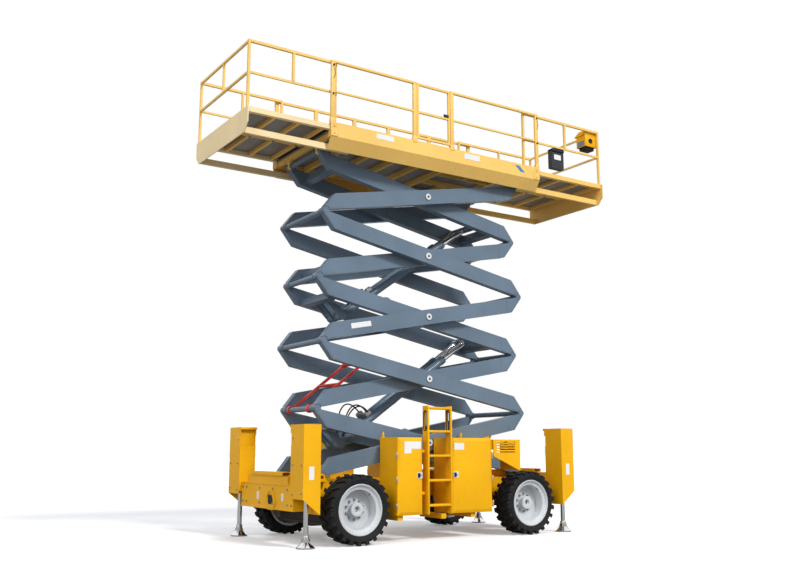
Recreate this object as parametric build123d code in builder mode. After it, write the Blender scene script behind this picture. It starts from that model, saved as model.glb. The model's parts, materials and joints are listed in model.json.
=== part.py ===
from build123d import *
import os
from math import asin, atan2, cos, degrees, hypot, radians, sin, sqrt, tan

# Rough-terrain scissor lift, millimetres, +Z up, ground at Z = 0.
# +X runs along the machine towards the steered wheels and the platform's control end,
# -Y is the side with the ladder.  The origin is on the ground under the middle of the
# whole machine's box.  The lift stands part raised, both extension decks run out.

os.makedirs("parts", exist_ok=True)

seat = 0.3            # gap between welded or bolted neighbours that are modelled apart
running = 0.05        # radial clearance of a pin in its bush
clear = 5.0           # least gap between pieces that move past each other

# ---------------------------------------------------------------- driving dimensions
# wheels
wheelbase = 2840
wheels_x = -184.5              # half-way between the axles
track_outer = 1145             # outer face of a tyre, off the centre plane
tyre_radius = 442.5            # to the lugs' tips
tyre_width = 330
lug_count = 22                 # lugs on each half of a tread
lug_height = 24
lug_reach = 56                 # furthest corner of a lug from the middle of its facet
rim_radius = 321
rim_width = 296
dish_radius = 250
disc_inset = 18                # rim disc's outer face inboard of the tyre's middle
disc_thickness = 12
spindle_radius = 50
steer_pin_inset = 305          # kingpin axis behind the tyre's outer face

# chassis
roller_radius = 46
roller_y = (336, 392)
guide_x = (-130, 1720)
rail_inner = 400
rail_outer = 545
rail_bottom = 560
rail_top = 780
chassis_tail_x = -2200
chassis_nose_x = 1820

# scissor stack
stage_count = 5
scissor_left_x = -1906         # fixed pivots' line, at rest and at every height
base_pivot_z = 839
arm_pitch = 3523               # pin to pin
lift_slope = 14.67             # slope of the pin-to-pin line as the machine stands, degrees
arm_depth = 215
arm_wall = 8
stack_gap = 11                 # gap between arms that lie on each other, stowed
outer_arm = (550, 660)         # inner and outer face off the centre plane
inner_arm = (400, 515)
tip_slope = 60                 # slope of an arm's end against its edge, degrees
tip_boss_radius = 48
tip_length = 190               # solid end piece of a box-section arm
pin_radius = 38
pin_bore = 24
cap_radius = 49
cap_thickness = 9

# lift cylinders, in the axes of the inner frames that hold them
base_eye_u, base_eye_w = -1124, -234
rod_eye_u, rod_eye_w = 1080, -45
cylinder_y = 110
barrel_radius = 55
barrel_bore = 42
barrel_length = 2200          # base pin to the gland's end
rod_radius = 38
rod_inside = 480               # base eye to the piston's back as the machine stands
eye_half_width = 55
eye_radius = 60
eye_pin_radius = 30
bore_start = 80
gland_length = 56
piston_length = 40
rod_eye_radius = 45
ear_thickness = 20
rod_tube_radius = 50
beam_u = 1460                  # rectangular cross beams of the inner frames
beam_width = 110
beam_depth = 120

# platform
platform_half_length = 3200
platform_half_width = 900
deck_left_x, deck_right_x = -1981, 1790
deck_bottom = 5380
deck_top = 5475
toe_top = 5584
extension_floor = 5550
extension_bottom = 5217
rail_top_z = 6481
mid_rail_drop = 451            # middle rails' centre under the top rail's top
rail_tube = 36
main_post = 60                 # posts' width along the machine
extension_post = 32
skirt_foot = 797               # slanted skirts' lower edge off the centre plane
gate_x = (-560, 48)

# outriggers
outrigger_x = (-2310, 1965)
outrigger_y = 1000
housing_length = 240
housing_y = (800, 1140)
housing_top = 1500
housing_low = 400
housing_high = 590
jack_radius = 32
foot_gap = 2                   # the feet hang just off the ground

# cabinets
cabinet_y = (680, 1120)
cabinet_z = (345, 1265)
cabinet_wall = 4
door_thickness = 20
door_bevel = (17, 40)          # depth and width of the sloping edges
left_cabinet_x = (-1037, -640)
ladder_x = (-634, -151)
right_cabinet_x = (-145, 545)
ladder_top = 1775

# ---------------------------------------------------------------- derived geometry
pin_rise = (arm_depth + stack_gap) / 2
pin_reach = sqrt((arm_pitch / 2) ** 2 - pin_rise ** 2)
arm_tilt = lift_slope - degrees(asin(2 * pin_rise / arm_pitch))
stage_rise = arm_pitch * sin(radians(lift_slope))
stage_run = arm_pitch * cos(radians(lift_slope))
scissor_x = scissor_left_x + stage_run / 2
top_pivot_z = base_pivot_z + stage_count * stage_rise
top_right_x = scissor_left_x + stage_run
wheel_y = track_outer - tyre_width / 2
rear_x = wheels_x - wheelbase / 2
front_x = wheels_x + wheelbase / 2
kingpin_y = track_outer - steer_pin_inset


def block(x, y, z):
    """Add a box between two values on each axis."""
    centre = ((x[0] + x[1]) / 2, (y[0] + y[1]) / 2, (z[0] + z[1]) / 2)
    with Locations(centre):
        Box(abs(x[1] - x[0]), abs(y[1] - y[0]), abs(z[1] - z[0]))


def carve(x, y, z):
    """Cut a box between two values on each axis."""
    centre = ((x[0] + x[1]) / 2, (y[0] + y[1]) / 2, (z[0] + z[1]) / 2)
    with Locations(centre):
        Box(abs(x[1] - x[0]), abs(y[1] - y[0]), abs(z[1] - z[0]), mode=Mode.SUBTRACT)


def bar_y(centre, y, radius, mode=Mode.ADD):
    """Add or cut a round bar along Y between two values of Y, centred on (x, z)."""
    with Locations(Location((centre[0], (y[0] + y[1]) / 2, centre[1]), (90, 0, 0))):
        Cylinder(radius, abs(y[1] - y[0]), mode=mode)


def save(builder, node):
    """Label a finished sub-part and write its STEP file."""
    builder.part.label = node
    export_step(builder.part, f"parts/{node}.step")


# ---------------------------------------------------------------- wheels
def tyre_and_rim():
    """The near-side wheel about its own centre, outer face towards -Y."""
    half = tyre_width / 2
    crown = tyre_radius - lug_height
    pitch = 360 / lug_count
    flat_top = sqrt(tyre_radius ** 2 - lug_reach ** 2)
    # lug outline on its facet: along the tread, outwards from the centre line
    outline = [(-46, half - 5), (8, half - 5), (lug_reach, 10), (12, 10)]
    with BuildPart() as tyre:
        for side, phase in ((-1, 0), (1, pitch / 2)):
            face = Plane(origin=(0, 0, 0), x_dir=(1, 0, 0), z_dir=(0, side, 0))
            # tread and shoulder, then the sidewall's hollow: offset, radius
            for mode, sections in ((Mode.ADD, [(0, crown), (half - 40, crown)]),
                                   (Mode.ADD, [(half - 40, crown), (half - 2, rim_radius + 63)]),
                                   (Mode.SUBTRACT, [(half - 1, rim_radius + 68),
                                                    (half - 19, rim_radius - 18)])):
                for offset, radius in sections:
                    with BuildSketch(face.offset(offset)):
                        RegularPolygon(radius, lug_count, major_radius=False, rotation=phase)
                loft(ruled=True, mode=mode)
            for k in range(lug_count):
                turn = radians(phase + (k + 0.5) * pitch)
                up = face.x_dir * cos(turn) + face.y_dir * sin(turn)
                along = face.y_dir * cos(turn) - face.x_dir * sin(turn)
                with BuildSketch(Plane(origin=up * flat_top, x_dir=along, z_dir=up)):
                    Polygon(*[(-side * x, y) for x, y in outline], align=None)
                extrude(amount=-(lug_height + 34))
        with BuildSketch(Plane.XZ):
            RegularPolygon(rim_radius + seat, 2 * lug_count, major_radius=False)
        extrude(amount=half, both=True, mode=Mode.SUBTRACT)
    with BuildPart() as rim:
        w = rim_width / 2
        dish_y = -(w - 22)
        disc_y = disc_inset
        with BuildSketch(Plane.YZ):
            with BuildLine():
                Polyline((-w, rim_radius), (-w, rim_radius - 20), (dish_y, dish_radius + 36),
                         (dish_y + 14, dish_radius), (disc_y, dish_radius - 8), (disc_y, 78),
                         (disc_y - 36, 72), (disc_y - 36, spindle_radius + running),
                         (disc_y + disc_thickness, spindle_radius + running),
                         (disc_y + disc_thickness, dish_radius),
                         (dish_y + 24, dish_radius + 8), (dish_y + 14, dish_radius + 40),
                         (w - 4, rim_radius - 31), (w, rim_radius - 20), (w, rim_radius),
                         (w - 8, rim_radius), (w - 12, rim_radius - 21),
                         (-w + 12, rim_radius - 21), (-w + 8, rim_radius), close=True)
            make_face()
        revolve(axis=Axis.Y)
    return tyre.part, rim.part


tyre_solid, rim_solid = tyre_and_rim()
wheel_table = [  # name, x, side (-1 is the ladder side)
    ("rear_near", rear_x, -1),
    ("rear_far", rear_x, 1),
    ("front_near", front_x, -1),
    ("front_far", front_x, 1),
]
for name, x, side in wheel_table:
    place = Location((x, side * wheel_y, tyre_radius))
    with BuildPart() as tyre:
        add(tyre_solid.moved(place) if side < 0 else tyre_solid.mirror(Plane.XZ).moved(place))
    save(tyre, f"tyre_{name}")
    with BuildPart() as rim:
        add(rim_solid.moved(place) if side < 0 else rim_solid.mirror(Plane.XZ).moved(place))
    save(rim, f"rim_{name}")

# ---------------------------------------------------------------- axles and knuckles
disc_inner = wheel_y - disc_inset - disc_thickness   # rim disc's inboard face
hub_inner = wheel_y - 300       # the drums' inboard ends
with BuildPart() as axle_rear:
    block((rear_x - 220, rear_x + 220), (-hub_inner - 10, hub_inner + 10),
          (255, rail_bottom - seat))
    block((rear_x - 250, rear_x + 250), (-hub_inner - 20, hub_inner + 20), (228, 255))
    for side in (-1, 1):
        bar_y((rear_x, tyre_radius), (side * hub_inner, side * (disc_inner - 6)), 150)
    bar_y((rear_x, tyre_radius), (-wheel_y, wheel_y), spindle_radius)
save(axle_rear, "axle_rear")

fork_height = 95                # half the gap between a fork's ears
ear_radius = 55
with BuildPart() as axle_front:
    block((front_x - 65, front_x + 65), (-kingpin_y + 70, kingpin_y - 70),
          (tyre_radius - 70, tyre_radius + 70))
    block((front_x - 65, front_x + 65), (-120, 120), (tyre_radius - 120, tyre_radius))
    pivot = Plane(origin=(front_x - 125, 0, tyre_radius), x_dir=(0, 1, 0), z_dir=(1, 0, 0))
    with BuildSketch(pivot):
        Circle(40)
    extrude(amount=250)
    for side in (-1, 1):
        block((front_x - ear_radius, front_x + ear_radius),
              (side * (kingpin_y - 140), side * (kingpin_y - 70)),
              (tyre_radius - fork_height - 30, tyre_radius + fork_height + 30))
        for low, high in ((fork_height, fork_height + 30), (-fork_height - 30, -fork_height)):
            block((front_x - ear_radius, front_x + ear_radius),
                  (side * (kingpin_y - 80), side * kingpin_y),
                  (tyre_radius + low, tyre_radius + high))
            with Locations((front_x, side * kingpin_y, tyre_radius + (low + high) / 2)):
                Cylinder(ear_radius, high - low)
        with Locations((front_x, side * kingpin_y, tyre_radius)):
            Cylinder(25, 2 * fork_height + 90)
        with Locations((front_x, side * kingpin_y, tyre_radius)):
            Cylinder(ear_radius - 20, 2 * fork_height - 80, mode=Mode.SUBTRACT)
save(axle_front, "axle_front")

for name, side in (("near", -1), ("far", 1)):
    with BuildPart() as knuckle:
        with Locations((front_x, side * kingpin_y, tyre_radius)):
            Cylinder(ear_radius - 2, 2 * fork_height - 2 * clear)
        bar_y((front_x, tyre_radius), (side * kingpin_y, side * (kingpin_y + 68)), 82)
        bar_y((front_x, tyre_radius), (side * (kingpin_y + 68), side * (disc_inner - 6)), 108)
        bar_y((front_x, tyre_radius), (side * kingpin_y, side * wheel_y), spindle_radius)
        carve((front_x - 100, front_x + 100), (side * (kingpin_y - 60), side * (kingpin_y - 90)),
              (tyre_radius - 90, tyre_radius + 90))
        with Locations((front_x, side * kingpin_y, tyre_radius)):
            Cylinder(25 + running, 2 * fork_height + 20, mode=Mode.SUBTRACT)
    save(knuckle, f"knuckle_{name}")

# ---------------------------------------------------------------- chassis
with BuildPart() as chassis:
    block((chassis_tail_x, chassis_nose_x), (rail_inner, rail_outer), (rail_bottom, rail_top))
    mirror(about=Plane.XZ)
    # cross members between the rails: x from, x to, bottom, top
    cross_table = [
        (chassis_tail_x, chassis_tail_x + 120, 560, 780),
        (rear_x - 60, rear_x + 60, 560, 640),
        (-620, -500, 560, 640),
        (420, 540, 560, 640),
        (front_x - 140, front_x + 140, 560, 640),
        (chassis_nose_x - 120, chassis_nose_x, 560, 690),
    ]
    for x0, x1, low, high in cross_table:
        block((x0, x1), (-rail_inner + seat, rail_inner - seat), (low, high))
    # hanger plates that carry the rocking axle's pivot
    for x in (front_x - 95, front_x + 75):
        block((x, x + 20), (-120, 120), (tyre_radius - 70, rail_bottom))
    pivot = Plane(origin=(front_x - 200, 0, tyre_radius), x_dir=(0, 1, 0), z_dir=(1, 0, 0))
    with BuildSketch(pivot):
        Circle(40 + seat)
    extrude(amount=400, mode=Mode.SUBTRACT)
ear_y = ((outer_arm[0] + outer_arm[1]) / 2 + 3, outer_arm[1])
with BuildPart() as brackets:
    # plates on the rails that hold the lowest outer arms' pivot tube
    bracket = Plane(origin=(scissor_left_x, ear_y[0], 0), x_dir=(1, 0, 0), z_dir=(0, -1, 0))
    with BuildSketch(bracket):
        with BuildLine():
            Polyline((-120, rail_top + 5 + seat), (-45, base_pivot_z - 14),
                     (45, base_pivot_z - 14), (90, rail_top + 5 + seat), close=True)
        make_face()
        with Locations((0, base_pivot_z)):
            Circle(tip_boss_radius)
        with Locations((0, base_pivot_z)):
            Circle(pin_radius + seat, mode=Mode.SUBTRACT)
    extrude(amount=-(ear_y[1] - ear_y[0]))
    block((scissor_left_x - 120, scissor_left_x + 90), (rail_inner, ear_y[1]),
          (rail_top + seat, rail_top + 5))
    # guides for the lowest inner arms' rollers, inboard of the rails
    low, high = base_pivot_z - roller_radius - 1, base_pivot_z + roller_radius + 3
    block(guide_x, (roller_y[0] - 16, rail_inner - seat), (low - 15, low))
    block(guide_x, (roller_y[0] - 16, roller_y[0] - 6), (low + seat, high - seat))
    block(guide_x, (roller_y[0] - 16, rail_inner - 8), (high, high + 10))
    for x in (-100, 480, 1060, 1640):
        block((x, x + 60), (roller_y[0] - 16, rail_inner - seat), (low - 95, low - 15 - seat))
    # outriders under the rails that carry the cabinets
    for x in (-1000, -300, 200):
        block((x, x + 80), (rail_outer + seat, 1060), (cabinet_z[0] - 65, cabinet_z[0] - seat))
        block((x, x + 80), (rail_outer + seat, cabinet_y[0] - seat), (cabinet_z[0], 700))
    mirror(about=Plane.XZ)
    # tube across the machine that the lowest outer arms turn on
    bar_y((scissor_left_x, base_pivot_z), (-outer_arm[1], outer_arm[1]), pin_radius)
    bar_y((scissor_left_x, base_pivot_z), (-outer_arm[1] - 1, outer_arm[1] + 1), pin_bore,
          Mode.SUBTRACT)
chassis.part = chassis.part + brackets.part
save(chassis, "chassis_frame")

# ---------------------------------------------------------------- scissor frames
def stage_centre(stage):
    """Centre of a stage's crossing, as (x, z)."""
    return scissor_x, base_pivot_z + (stage - 0.5) * stage_rise


def arm_plane(stage, rising, y):
    """Plane in an arm's own axes: x along the arm, y up from its centre line."""
    tilt = radians(arm_tilt if rising else -arm_tilt)
    x, z = stage_centre(stage)
    return Plane(origin=(x, y, z), x_dir=(cos(tilt), 0, sin(tilt)), z_dir=(0, -1, 0))


def arm_point(stage, rising, u, w):
    """World (x, z) of a point in an arm's own axes."""
    tilt = radians(arm_tilt if rising else -arm_tilt)
    x, z = stage_centre(stage)
    return x + u * cos(tilt) - w * sin(tilt), z + u * sin(tilt) + w * cos(tilt)


def slab(plane, depth, points, mode=Mode.ADD):
    """Extrude a polygon from a plane towards the centre of the machine's far side."""
    with BuildSketch(plane) as profile:
        Polygon(*points, align=None)
    extrude(profile.sketch, amount=-depth, mode=mode)


def disc(plane, depth, centre, radius, mode=Mode.ADD):
    """Extrude a circle from a plane towards the far side."""
    with BuildSketch(plane) as profile:
        with Locations(centre):
            Circle(radius)
    extrude(profile.sketch, amount=-depth, mode=mode)


def scissor_frame(stage, kind):
    """Build one welded frame: a pair of box arms, their tubes, beams and brackets."""
    outer = kind == "outer"
    rising = outer == (stage % 2 == 1)
    face_in, face_out = outer_arm if outer else inner_arm
    width = face_out - face_in
    middle = (face_in + face_out) / 2
    lean = 1 if rising else -1
    top_end = lean                     # end that carries the upper pivot: +1 right, -1 left
    tip_run = (arm_depth / 2 + pin_rise - tip_boss_radius / 2) / tan(radians(tip_slope))
    corner = tip_boss_radius * cos(radians(90 - tip_slope))
    with BuildPart() as frame:
        near = arm_plane(stage, rising, -face_out)
        half = arm_depth / 2
        tip = (pin_reach + corner, pin_rise - tip_boss_radius / 2)
        right = [(pin_reach + corner - tip_run, -half), tip, (pin_reach, half)]
        left = [(-u, -w) for u, w in right]
        outline = [(u, lean * w) for u, w in right + left]
        slab(near, width, outline)
        cavity = pin_reach - tip_length
        box_half = half - arm_wall
        inside = arm_plane(stage, rising, -face_out + arm_wall)
        slab(inside, width - 2 * arm_wall,
             [(-cavity, -box_half), (cavity, -box_half), (cavity, box_half), (-cavity, box_half)],
             Mode.SUBTRACT)
        for end in (1, -1):
            pin = (end * pin_reach, end * lean * pin_rise)
            upper = end == top_end
            lone = (stage == 1 and not upper and not outer) or (stage == stage_count and upper
                                                                and outer)
            # a lower frame's boss is the outer half of the joint, the next one's the inner half
            boss = (face_out, middle + 3) if upper else (middle - 3, face_in)
            other = (middle + 3, face_in) if upper else (face_out, middle - 3)
            if lone:
                boss = (face_out, face_in)
            else:
                disc(arm_plane(stage, rising, -other[0] - 1), other[0] - other[1] + 2, pin,
                     tip_boss_radius + clear + 1, Mode.SUBTRACT)
            disc(arm_plane(stage, rising, -boss[0]), boss[0] - boss[1], pin, tip_boss_radius)
            held = pin_radius + (seat if upper or lone else running)
            disc(arm_plane(stage, rising, -boss[0] - 1), boss[0] - boss[1] + 2, pin, held,
                 Mode.SUBTRACT)
        # centre bush: the outer frame holds the pin, the inner frame turns on it
        disc(arm_plane(stage, rising, -face_out - 1), width + 2, (0, 0),
             pin_radius + (seat if outer else running), Mode.SUBTRACT)
        mirror(about=Plane.XZ)
        # pivot tube of the upper joint, and the loose ends' stub pins with their rollers
        top = arm_point(stage, rising, top_end * pin_reach, pin_rise)
        if outer and stage == stage_count:
            for side in (-1, 1):
                bar_y(top, (side * face_in, side * (face_out + 66)), pin_radius)
        else:
            bar_y(top, (-face_out, face_out), pin_radius)
            bar_y(top, (-face_out - 1, face_out + 1), pin_bore, Mode.SUBTRACT)
        if outer:
            centre = arm_point(stage, rising, 0, 0)
            for side in (-1, 1):
                bar_y(centre, (side * (inner_arm[0] - 6), side * (face_out + seat)), pin_radius)
                bar_y(centre, (side * (face_out + seat), side * (face_out + cap_thickness)),
                      cap_radius)
        else:
            inner_members(stage, rising, face_in)
        if stage == 1 and not outer:
            low = arm_point(stage, rising, pin_reach, -pin_rise)
            for side in (-1, 1):
                bar_y(low, (side * (roller_y[0] - 4), side * face_out), pin_radius)
            for side in (-1, 1):
                bar_y(low, (side * roller_y[0], side * roller_y[1]), roller_radius)
        if outer and stage == stage_count:
            for side in (-1, 1):
                bar_y(top, (side * (face_out + 6), side * (face_out + 62)), roller_radius)
    save(frame, f"{kind}_frame_{stage}")


def inner_members(stage, rising, face_in):
    """Cross beams and cylinder brackets between a pair of inner arms."""
    lean = 1 if rising else -1
    half = face_in - seat
    # a cylinder's base hangs from stages 1 and 3, its rod from stages 3 and 5
    holds_base = stage in (1, 3)
    holds_rod = stage in (3, 5)
    base_beam_w, base_beam_half = base_eye_w + 162, 48
    for end in (1, -1):
        if stage == 2 and end < 0:
            continue               # the safety prop folds down through here
        low_beam = holds_base and end < 0
        w = base_beam_w if low_beam else 0
        deep = base_beam_half if low_beam else beam_depth / 2
        if stage == 1 and end > 0:
            w, deep = 5, beam_depth / 2 - 5       # clear of the rollers' guides
        plane = arm_plane(stage, rising, -half)
        u0, u1 = end * beam_u - beam_width / 2, end * beam_u + beam_width / 2
        slab(plane, 2 * half, [(u0, w - deep), (u1, w - deep), (u1, w + deep), (u0, w + deep)])
    if holds_base:
        root = -beam_u + beam_width / 2 + seat
        for y in ear_faces():
            plane = arm_plane(stage, rising, y)
            with BuildSketch(plane) as web:
                with BuildLine():
                    Polyline((root, base_beam_w + 44), (base_eye_u + 20, base_eye_w + 56),
                             (base_eye_u - 10, base_eye_w - 59), (root, base_beam_w - 44),
                             close=True)
                make_face()
                with Locations((base_eye_u, base_eye_w)):
                    Circle(eye_radius)
                with Locations((base_eye_u, base_eye_w)):
                    Circle(eye_pin_radius + seat, mode=Mode.SUBTRACT)
            extrude(web.sketch, amount=-ear_thickness)
        eye = arm_point(stage, rising, base_eye_u, base_eye_w)
        for side in (-1, 1):
            reach = (cylinder_y - eye_half_width - clear - ear_thickness,
                     cylinder_y + eye_half_width + clear + ear_thickness)
            bar_y(eye, (side * reach[0], side * reach[1]), eye_pin_radius)
    if holds_rod:
        tube = (rod_eye_u + 113, rod_eye_w + 65)
        bar_y(arm_point(stage, rising, *tube), (-half, half), rod_tube_radius)
        span = hypot(tube[0] - rod_eye_u, tube[1] - rod_eye_w)
        du, dw = (rod_eye_u - tube[0]) / span, (rod_eye_w - tube[1]) / span
        start = (tube[0] + du * (rod_tube_radius + seat), tube[1] + dw * (rod_tube_radius + seat))
        for y in ear_faces():
            plane = arm_plane(stage, rising, y)
            with BuildSketch(plane) as web:
                with BuildLine():
                    Polyline((start[0] - 43 * dw, start[1] + 43 * du),
                             (rod_eye_u - 43 * dw, rod_eye_w + 43 * du),
                             (rod_eye_u + 43 * dw, rod_eye_w - 43 * du),
                             (start[0] + 43 * dw, start[1] - 43 * du), close=True)
                make_face()
                with Locations((rod_eye_u, rod_eye_w)):
                    Circle(rod_eye_radius)
            extrude(web.sketch, amount=-ear_thickness)


def ear_faces():
    """Near faces of the four bracket plates beside the two cylinder eyes."""
    near = cylinder_y + eye_half_width + clear + ear_thickness
    far = cylinder_y - eye_half_width - clear
    return (-near, -far, far - ear_thickness, near - ear_thickness)


for stage in range(1, stage_count + 1):
    scissor_frame(stage, "outer")
    scissor_frame(stage, "inner")

# ---------------------------------------------------------------- lift cylinders
for name, low_stage in (("lower", 1), ("upper", 3)):
    base = arm_point(low_stage, False, base_eye_u, base_eye_w)
    eye = arm_point(low_stage + 2, False, rod_eye_u, rod_eye_w)
    length = hypot(eye[0] - base[0], eye[1] - base[1])
    aim = ((eye[0] - base[0]) / length, 0, (eye[1] - base[1]) / length)
    with BuildPart() as barrel:
        for y in (-cylinder_y, cylinder_y):
            root = Plane(origin=(base[0], y, base[1]), x_dir=(0, 1, 0), z_dir=aim)
            with BuildSketch(root.offset(50)):
                Circle(barrel_radius)
            extrude(amount=barrel_length - 50)
            bar_y(base, (y - eye_half_width, y + eye_half_width), eye_radius)
            with BuildSketch(root.offset(bore_start)):
                Circle(barrel_bore)
            extrude(amount=barrel_length - gland_length - bore_start, mode=Mode.SUBTRACT)
            with BuildSketch(root.offset(barrel_length - gland_length)):
                Circle(rod_radius + seat)
            extrude(amount=gland_length, mode=Mode.SUBTRACT)
            bar_y(base, (y - eye_half_width - 1, y + eye_half_width + 1),
                  eye_pin_radius + running, Mode.SUBTRACT)
    save(barrel, f"{name}_cylinder_barrels")
    with BuildPart() as rod:
        for y in (-cylinder_y, cylinder_y):
            back = Plane(origin=(base[0] + rod_inside * aim[0], y, base[1] + rod_inside * aim[2]),
                         x_dir=(0, 1, 0), z_dir=aim)
            with BuildSketch(back):
                Circle(barrel_bore - seat)
            extrude(amount=piston_length)
            with BuildSketch(back):
                Circle(rod_radius)
            extrude(amount=length - rod_inside - 20)
            bar_y(eye, (y - eye_half_width, y + eye_half_width), rod_eye_radius)
    save(rod, f"{name}_cylinder_rods")

# ---------------------------------------------------------------- safety prop
prop_pivot = arm_point(2, True, -pin_reach, -pin_rise)
prop_slope = 38
prop_length = 1100
prop_half_width = 280
prop_bar = 36
with BuildPart() as prop:
    aim = (cos(radians(prop_slope)), 0, sin(radians(prop_slope)))
    for side in (-1, 1):
        leg = Plane(origin=(prop_pivot[0], side * prop_half_width, prop_pivot[1]), x_dir=(0, 1, 0),
                    z_dir=aim)
        with BuildSketch(leg):
            Rectangle(prop_bar, prop_bar)
        extrude(amount=prop_length - prop_bar - seat)
        bar_y(prop_pivot, (side * prop_half_width - 24, side * prop_half_width + 24), 56)
    top = Plane(origin=(prop_pivot[0] + (prop_length - prop_bar / 2) * aim[0],
                        -prop_half_width - prop_bar / 2,
                        prop_pivot[1] + (prop_length - prop_bar / 2) * aim[2]),
                x_dir=aim, z_dir=(0, 1, 0))
    with BuildSketch(top):
        Rectangle(prop_bar, prop_bar)
    extrude(amount=2 * prop_half_width + prop_bar)
    bar_y(prop_pivot, (-prop_half_width - 60, prop_half_width + 60), pin_radius + running,
          Mode.SUBTRACT)
save(prop, "safety_prop")

# ---------------------------------------------------------------- outriggers
housing_wall = 8
with BuildPart() as housings:
    for x, outward in ((outrigger_x[0], -1), (outrigger_x[1], 1)):
        inboard = x - outward * housing_length / 2
        outboard = x + outward * housing_length / 2
        side_plane = Plane(origin=(0, -housing_y[1], 0), x_dir=(1, 0, 0), z_dir=(0, -1, 0))
        with BuildSketch(side_plane):
            Polygon((inboard, housing_low), (outboard, housing_high), (outboard, housing_top),
                    (inboard, housing_top), align=None)
        extrude(amount=-(housing_y[1] - housing_y[0]))
        carve((inboard + outward * housing_wall, outboard - outward * housing_wall),
              (-housing_y[1] + housing_wall, -housing_y[0] + 1),
              (housing_low - 1, housing_top - housing_wall))
        # guide tube round the jack, held by two plates
        with Locations((x, -outrigger_y, 1000)):
            Cylinder(jack_radius + 14, 760)
        for z in (680, 1340):
            block((inboard + outward * housing_wall, outboard - outward * housing_wall),
                  (-housing_y[1] + housing_wall, -housing_y[0] - 40), (z - 8, z + 8))
        with Locations((x, -outrigger_y, 1000)):
            Cylinder(jack_radius + seat, 780, mode=Mode.SUBTRACT)
    mirror(about=Plane.XZ)
save(housings, "outrigger_housings")

for name, x, outward, tail in (("rear", outrigger_x[0], -1, chassis_tail_x),
                               ("front", outrigger_x[1], 1, chassis_nose_x)):
    with BuildPart() as beam:
        # collar on the rails' end, cross beam, upper shelf
        block((tail + outward * seat, x - outward * (70 + seat)), (-600, 600), (440, 760))
        block((x - 70, x + 70), (-housing_y[0] + 12, housing_y[0] - 12), (430, 750))
        for side in (-1, 1):
            block((x - 118, x + 118), (side * (housing_y[0] - 12 + seat),
                                       side * (housing_y[0] - seat)), (620, 1240))
        block((x - 60, x + 60), (-600, 600), (750 + seat, 850))
    save(beam, f"outrigger_beam_{name}")
    for side_name, side in (("near", -1), ("far", 1)):
        with BuildPart() as jack:
            with BuildSketch(Plane.XY.offset(110)):
                with Locations((x, side * outrigger_y)):
                    Circle(jack_radius)
            extrude(amount=1070)
            foot = Plane(origin=(x, side * outrigger_y, foot_gap), x_dir=(1, 0, 0),
                         z_dir=(0, -1, 0))
            with BuildSketch(foot):
                Polygon((0, 0), (112, 0), (112, 14), (52, 74), (52, 112), (0, 112), align=None)
            revolve(axis=Axis((x, side * outrigger_y, 0), (0, 0, 1)))
        save(jack, f"jack_{name}_{side_name}")

# ---------------------------------------------------------------- cabinets and ladder
cabinet_table = [  # name, x span, edge with the hinges
    ("left", left_cabinet_x, -1),
    ("right", right_cabinet_x, 1),
]
hinge_out = 11                 # hinge axis outside the cabinet's side wall
hinge_in = 8                   # hinge axis behind the door's face
hinge_z = (450, 760, 1050)
hinge_half = 35
for side_name, side in (("near", -1), ("far", 1)):
    front, back = cabinet_y[1] - door_thickness - 2, cabinet_y[0]
    face = cabinet_y[1]
    hinge_y = side * (face - hinge_in)
    with BuildPart() as boxes:
        for name, x, edge in cabinet_table:
            block(x, (side * back, side * front), cabinet_z)
            carve((x[0] + cabinet_wall, x[1] - cabinet_wall),
                  (side * (back + cabinet_wall), side * (front + 1)),
                  (cabinet_z[0] + cabinet_wall, cabinet_z[1] - cabinet_wall))
            wall = x[0] if edge < 0 else x[1]
            for z in hinge_z:
                # fixed leaf and pin
                block((wall + edge * seat, wall + edge * (hinge_out + 5)),
                      (side * (front - 20), hinge_y), (z - hinge_half - 9, z - hinge_half - 1))
                with Locations((wall + edge * hinge_out, hinge_y, z - 2)):
                    Cylinder(5, 2 * hinge_half + 14)
    save(boxes, f"cabinets_{side_name}")
    for name, x, edge in cabinet_table:
        wall = x[0] if edge < 0 else x[1]
        with BuildPart() as leaf:
            depth, width = door_bevel
            bevel_root = side * (face - depth)
            block((x[0] + 3, x[1] - 3), (side * (face - door_thickness), bevel_root),
                  (cabinet_z[0] + 3, cabinet_z[1] - 3))
            for y, inset in ((bevel_root, 3), (side * face, 3 + width)):
                with BuildSketch(Plane(origin=(0, y, 0), x_dir=(1, 0, 0), z_dir=(0, -1, 0))):
                    Polygon((x[0] + inset, cabinet_z[0] + inset),
                            (x[1] - inset, cabinet_z[0] + inset),
                            (x[1] - inset, cabinet_z[1] - inset),
                            (x[0] + inset, cabinet_z[1] - inset), align=None)
            loft()
            carve((x[0] + 44, x[1] - 44), (side * (face - door_thickness - 1), side * (face - 3)),
                  (cabinet_z[0] + 44, cabinet_z[1] - 44))
            for z in hinge_z:
                block((wall + edge * hinge_out, wall - edge * (3 - seat)),
                      (side * (face - door_thickness), hinge_y + side * 4),
                      (z - hinge_half, z + hinge_half))
                with Locations((wall + edge * hinge_out, hinge_y, z)):
                    Cylinder(9, 2 * hinge_half)
                with Locations((wall + edge * hinge_out, hinge_y, z)):
                    Cylinder(5 + running, 2 * hinge_half + 2, mode=Mode.SUBTRACT)
        save(leaf, f"door_{side_name}_{name}")

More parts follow.
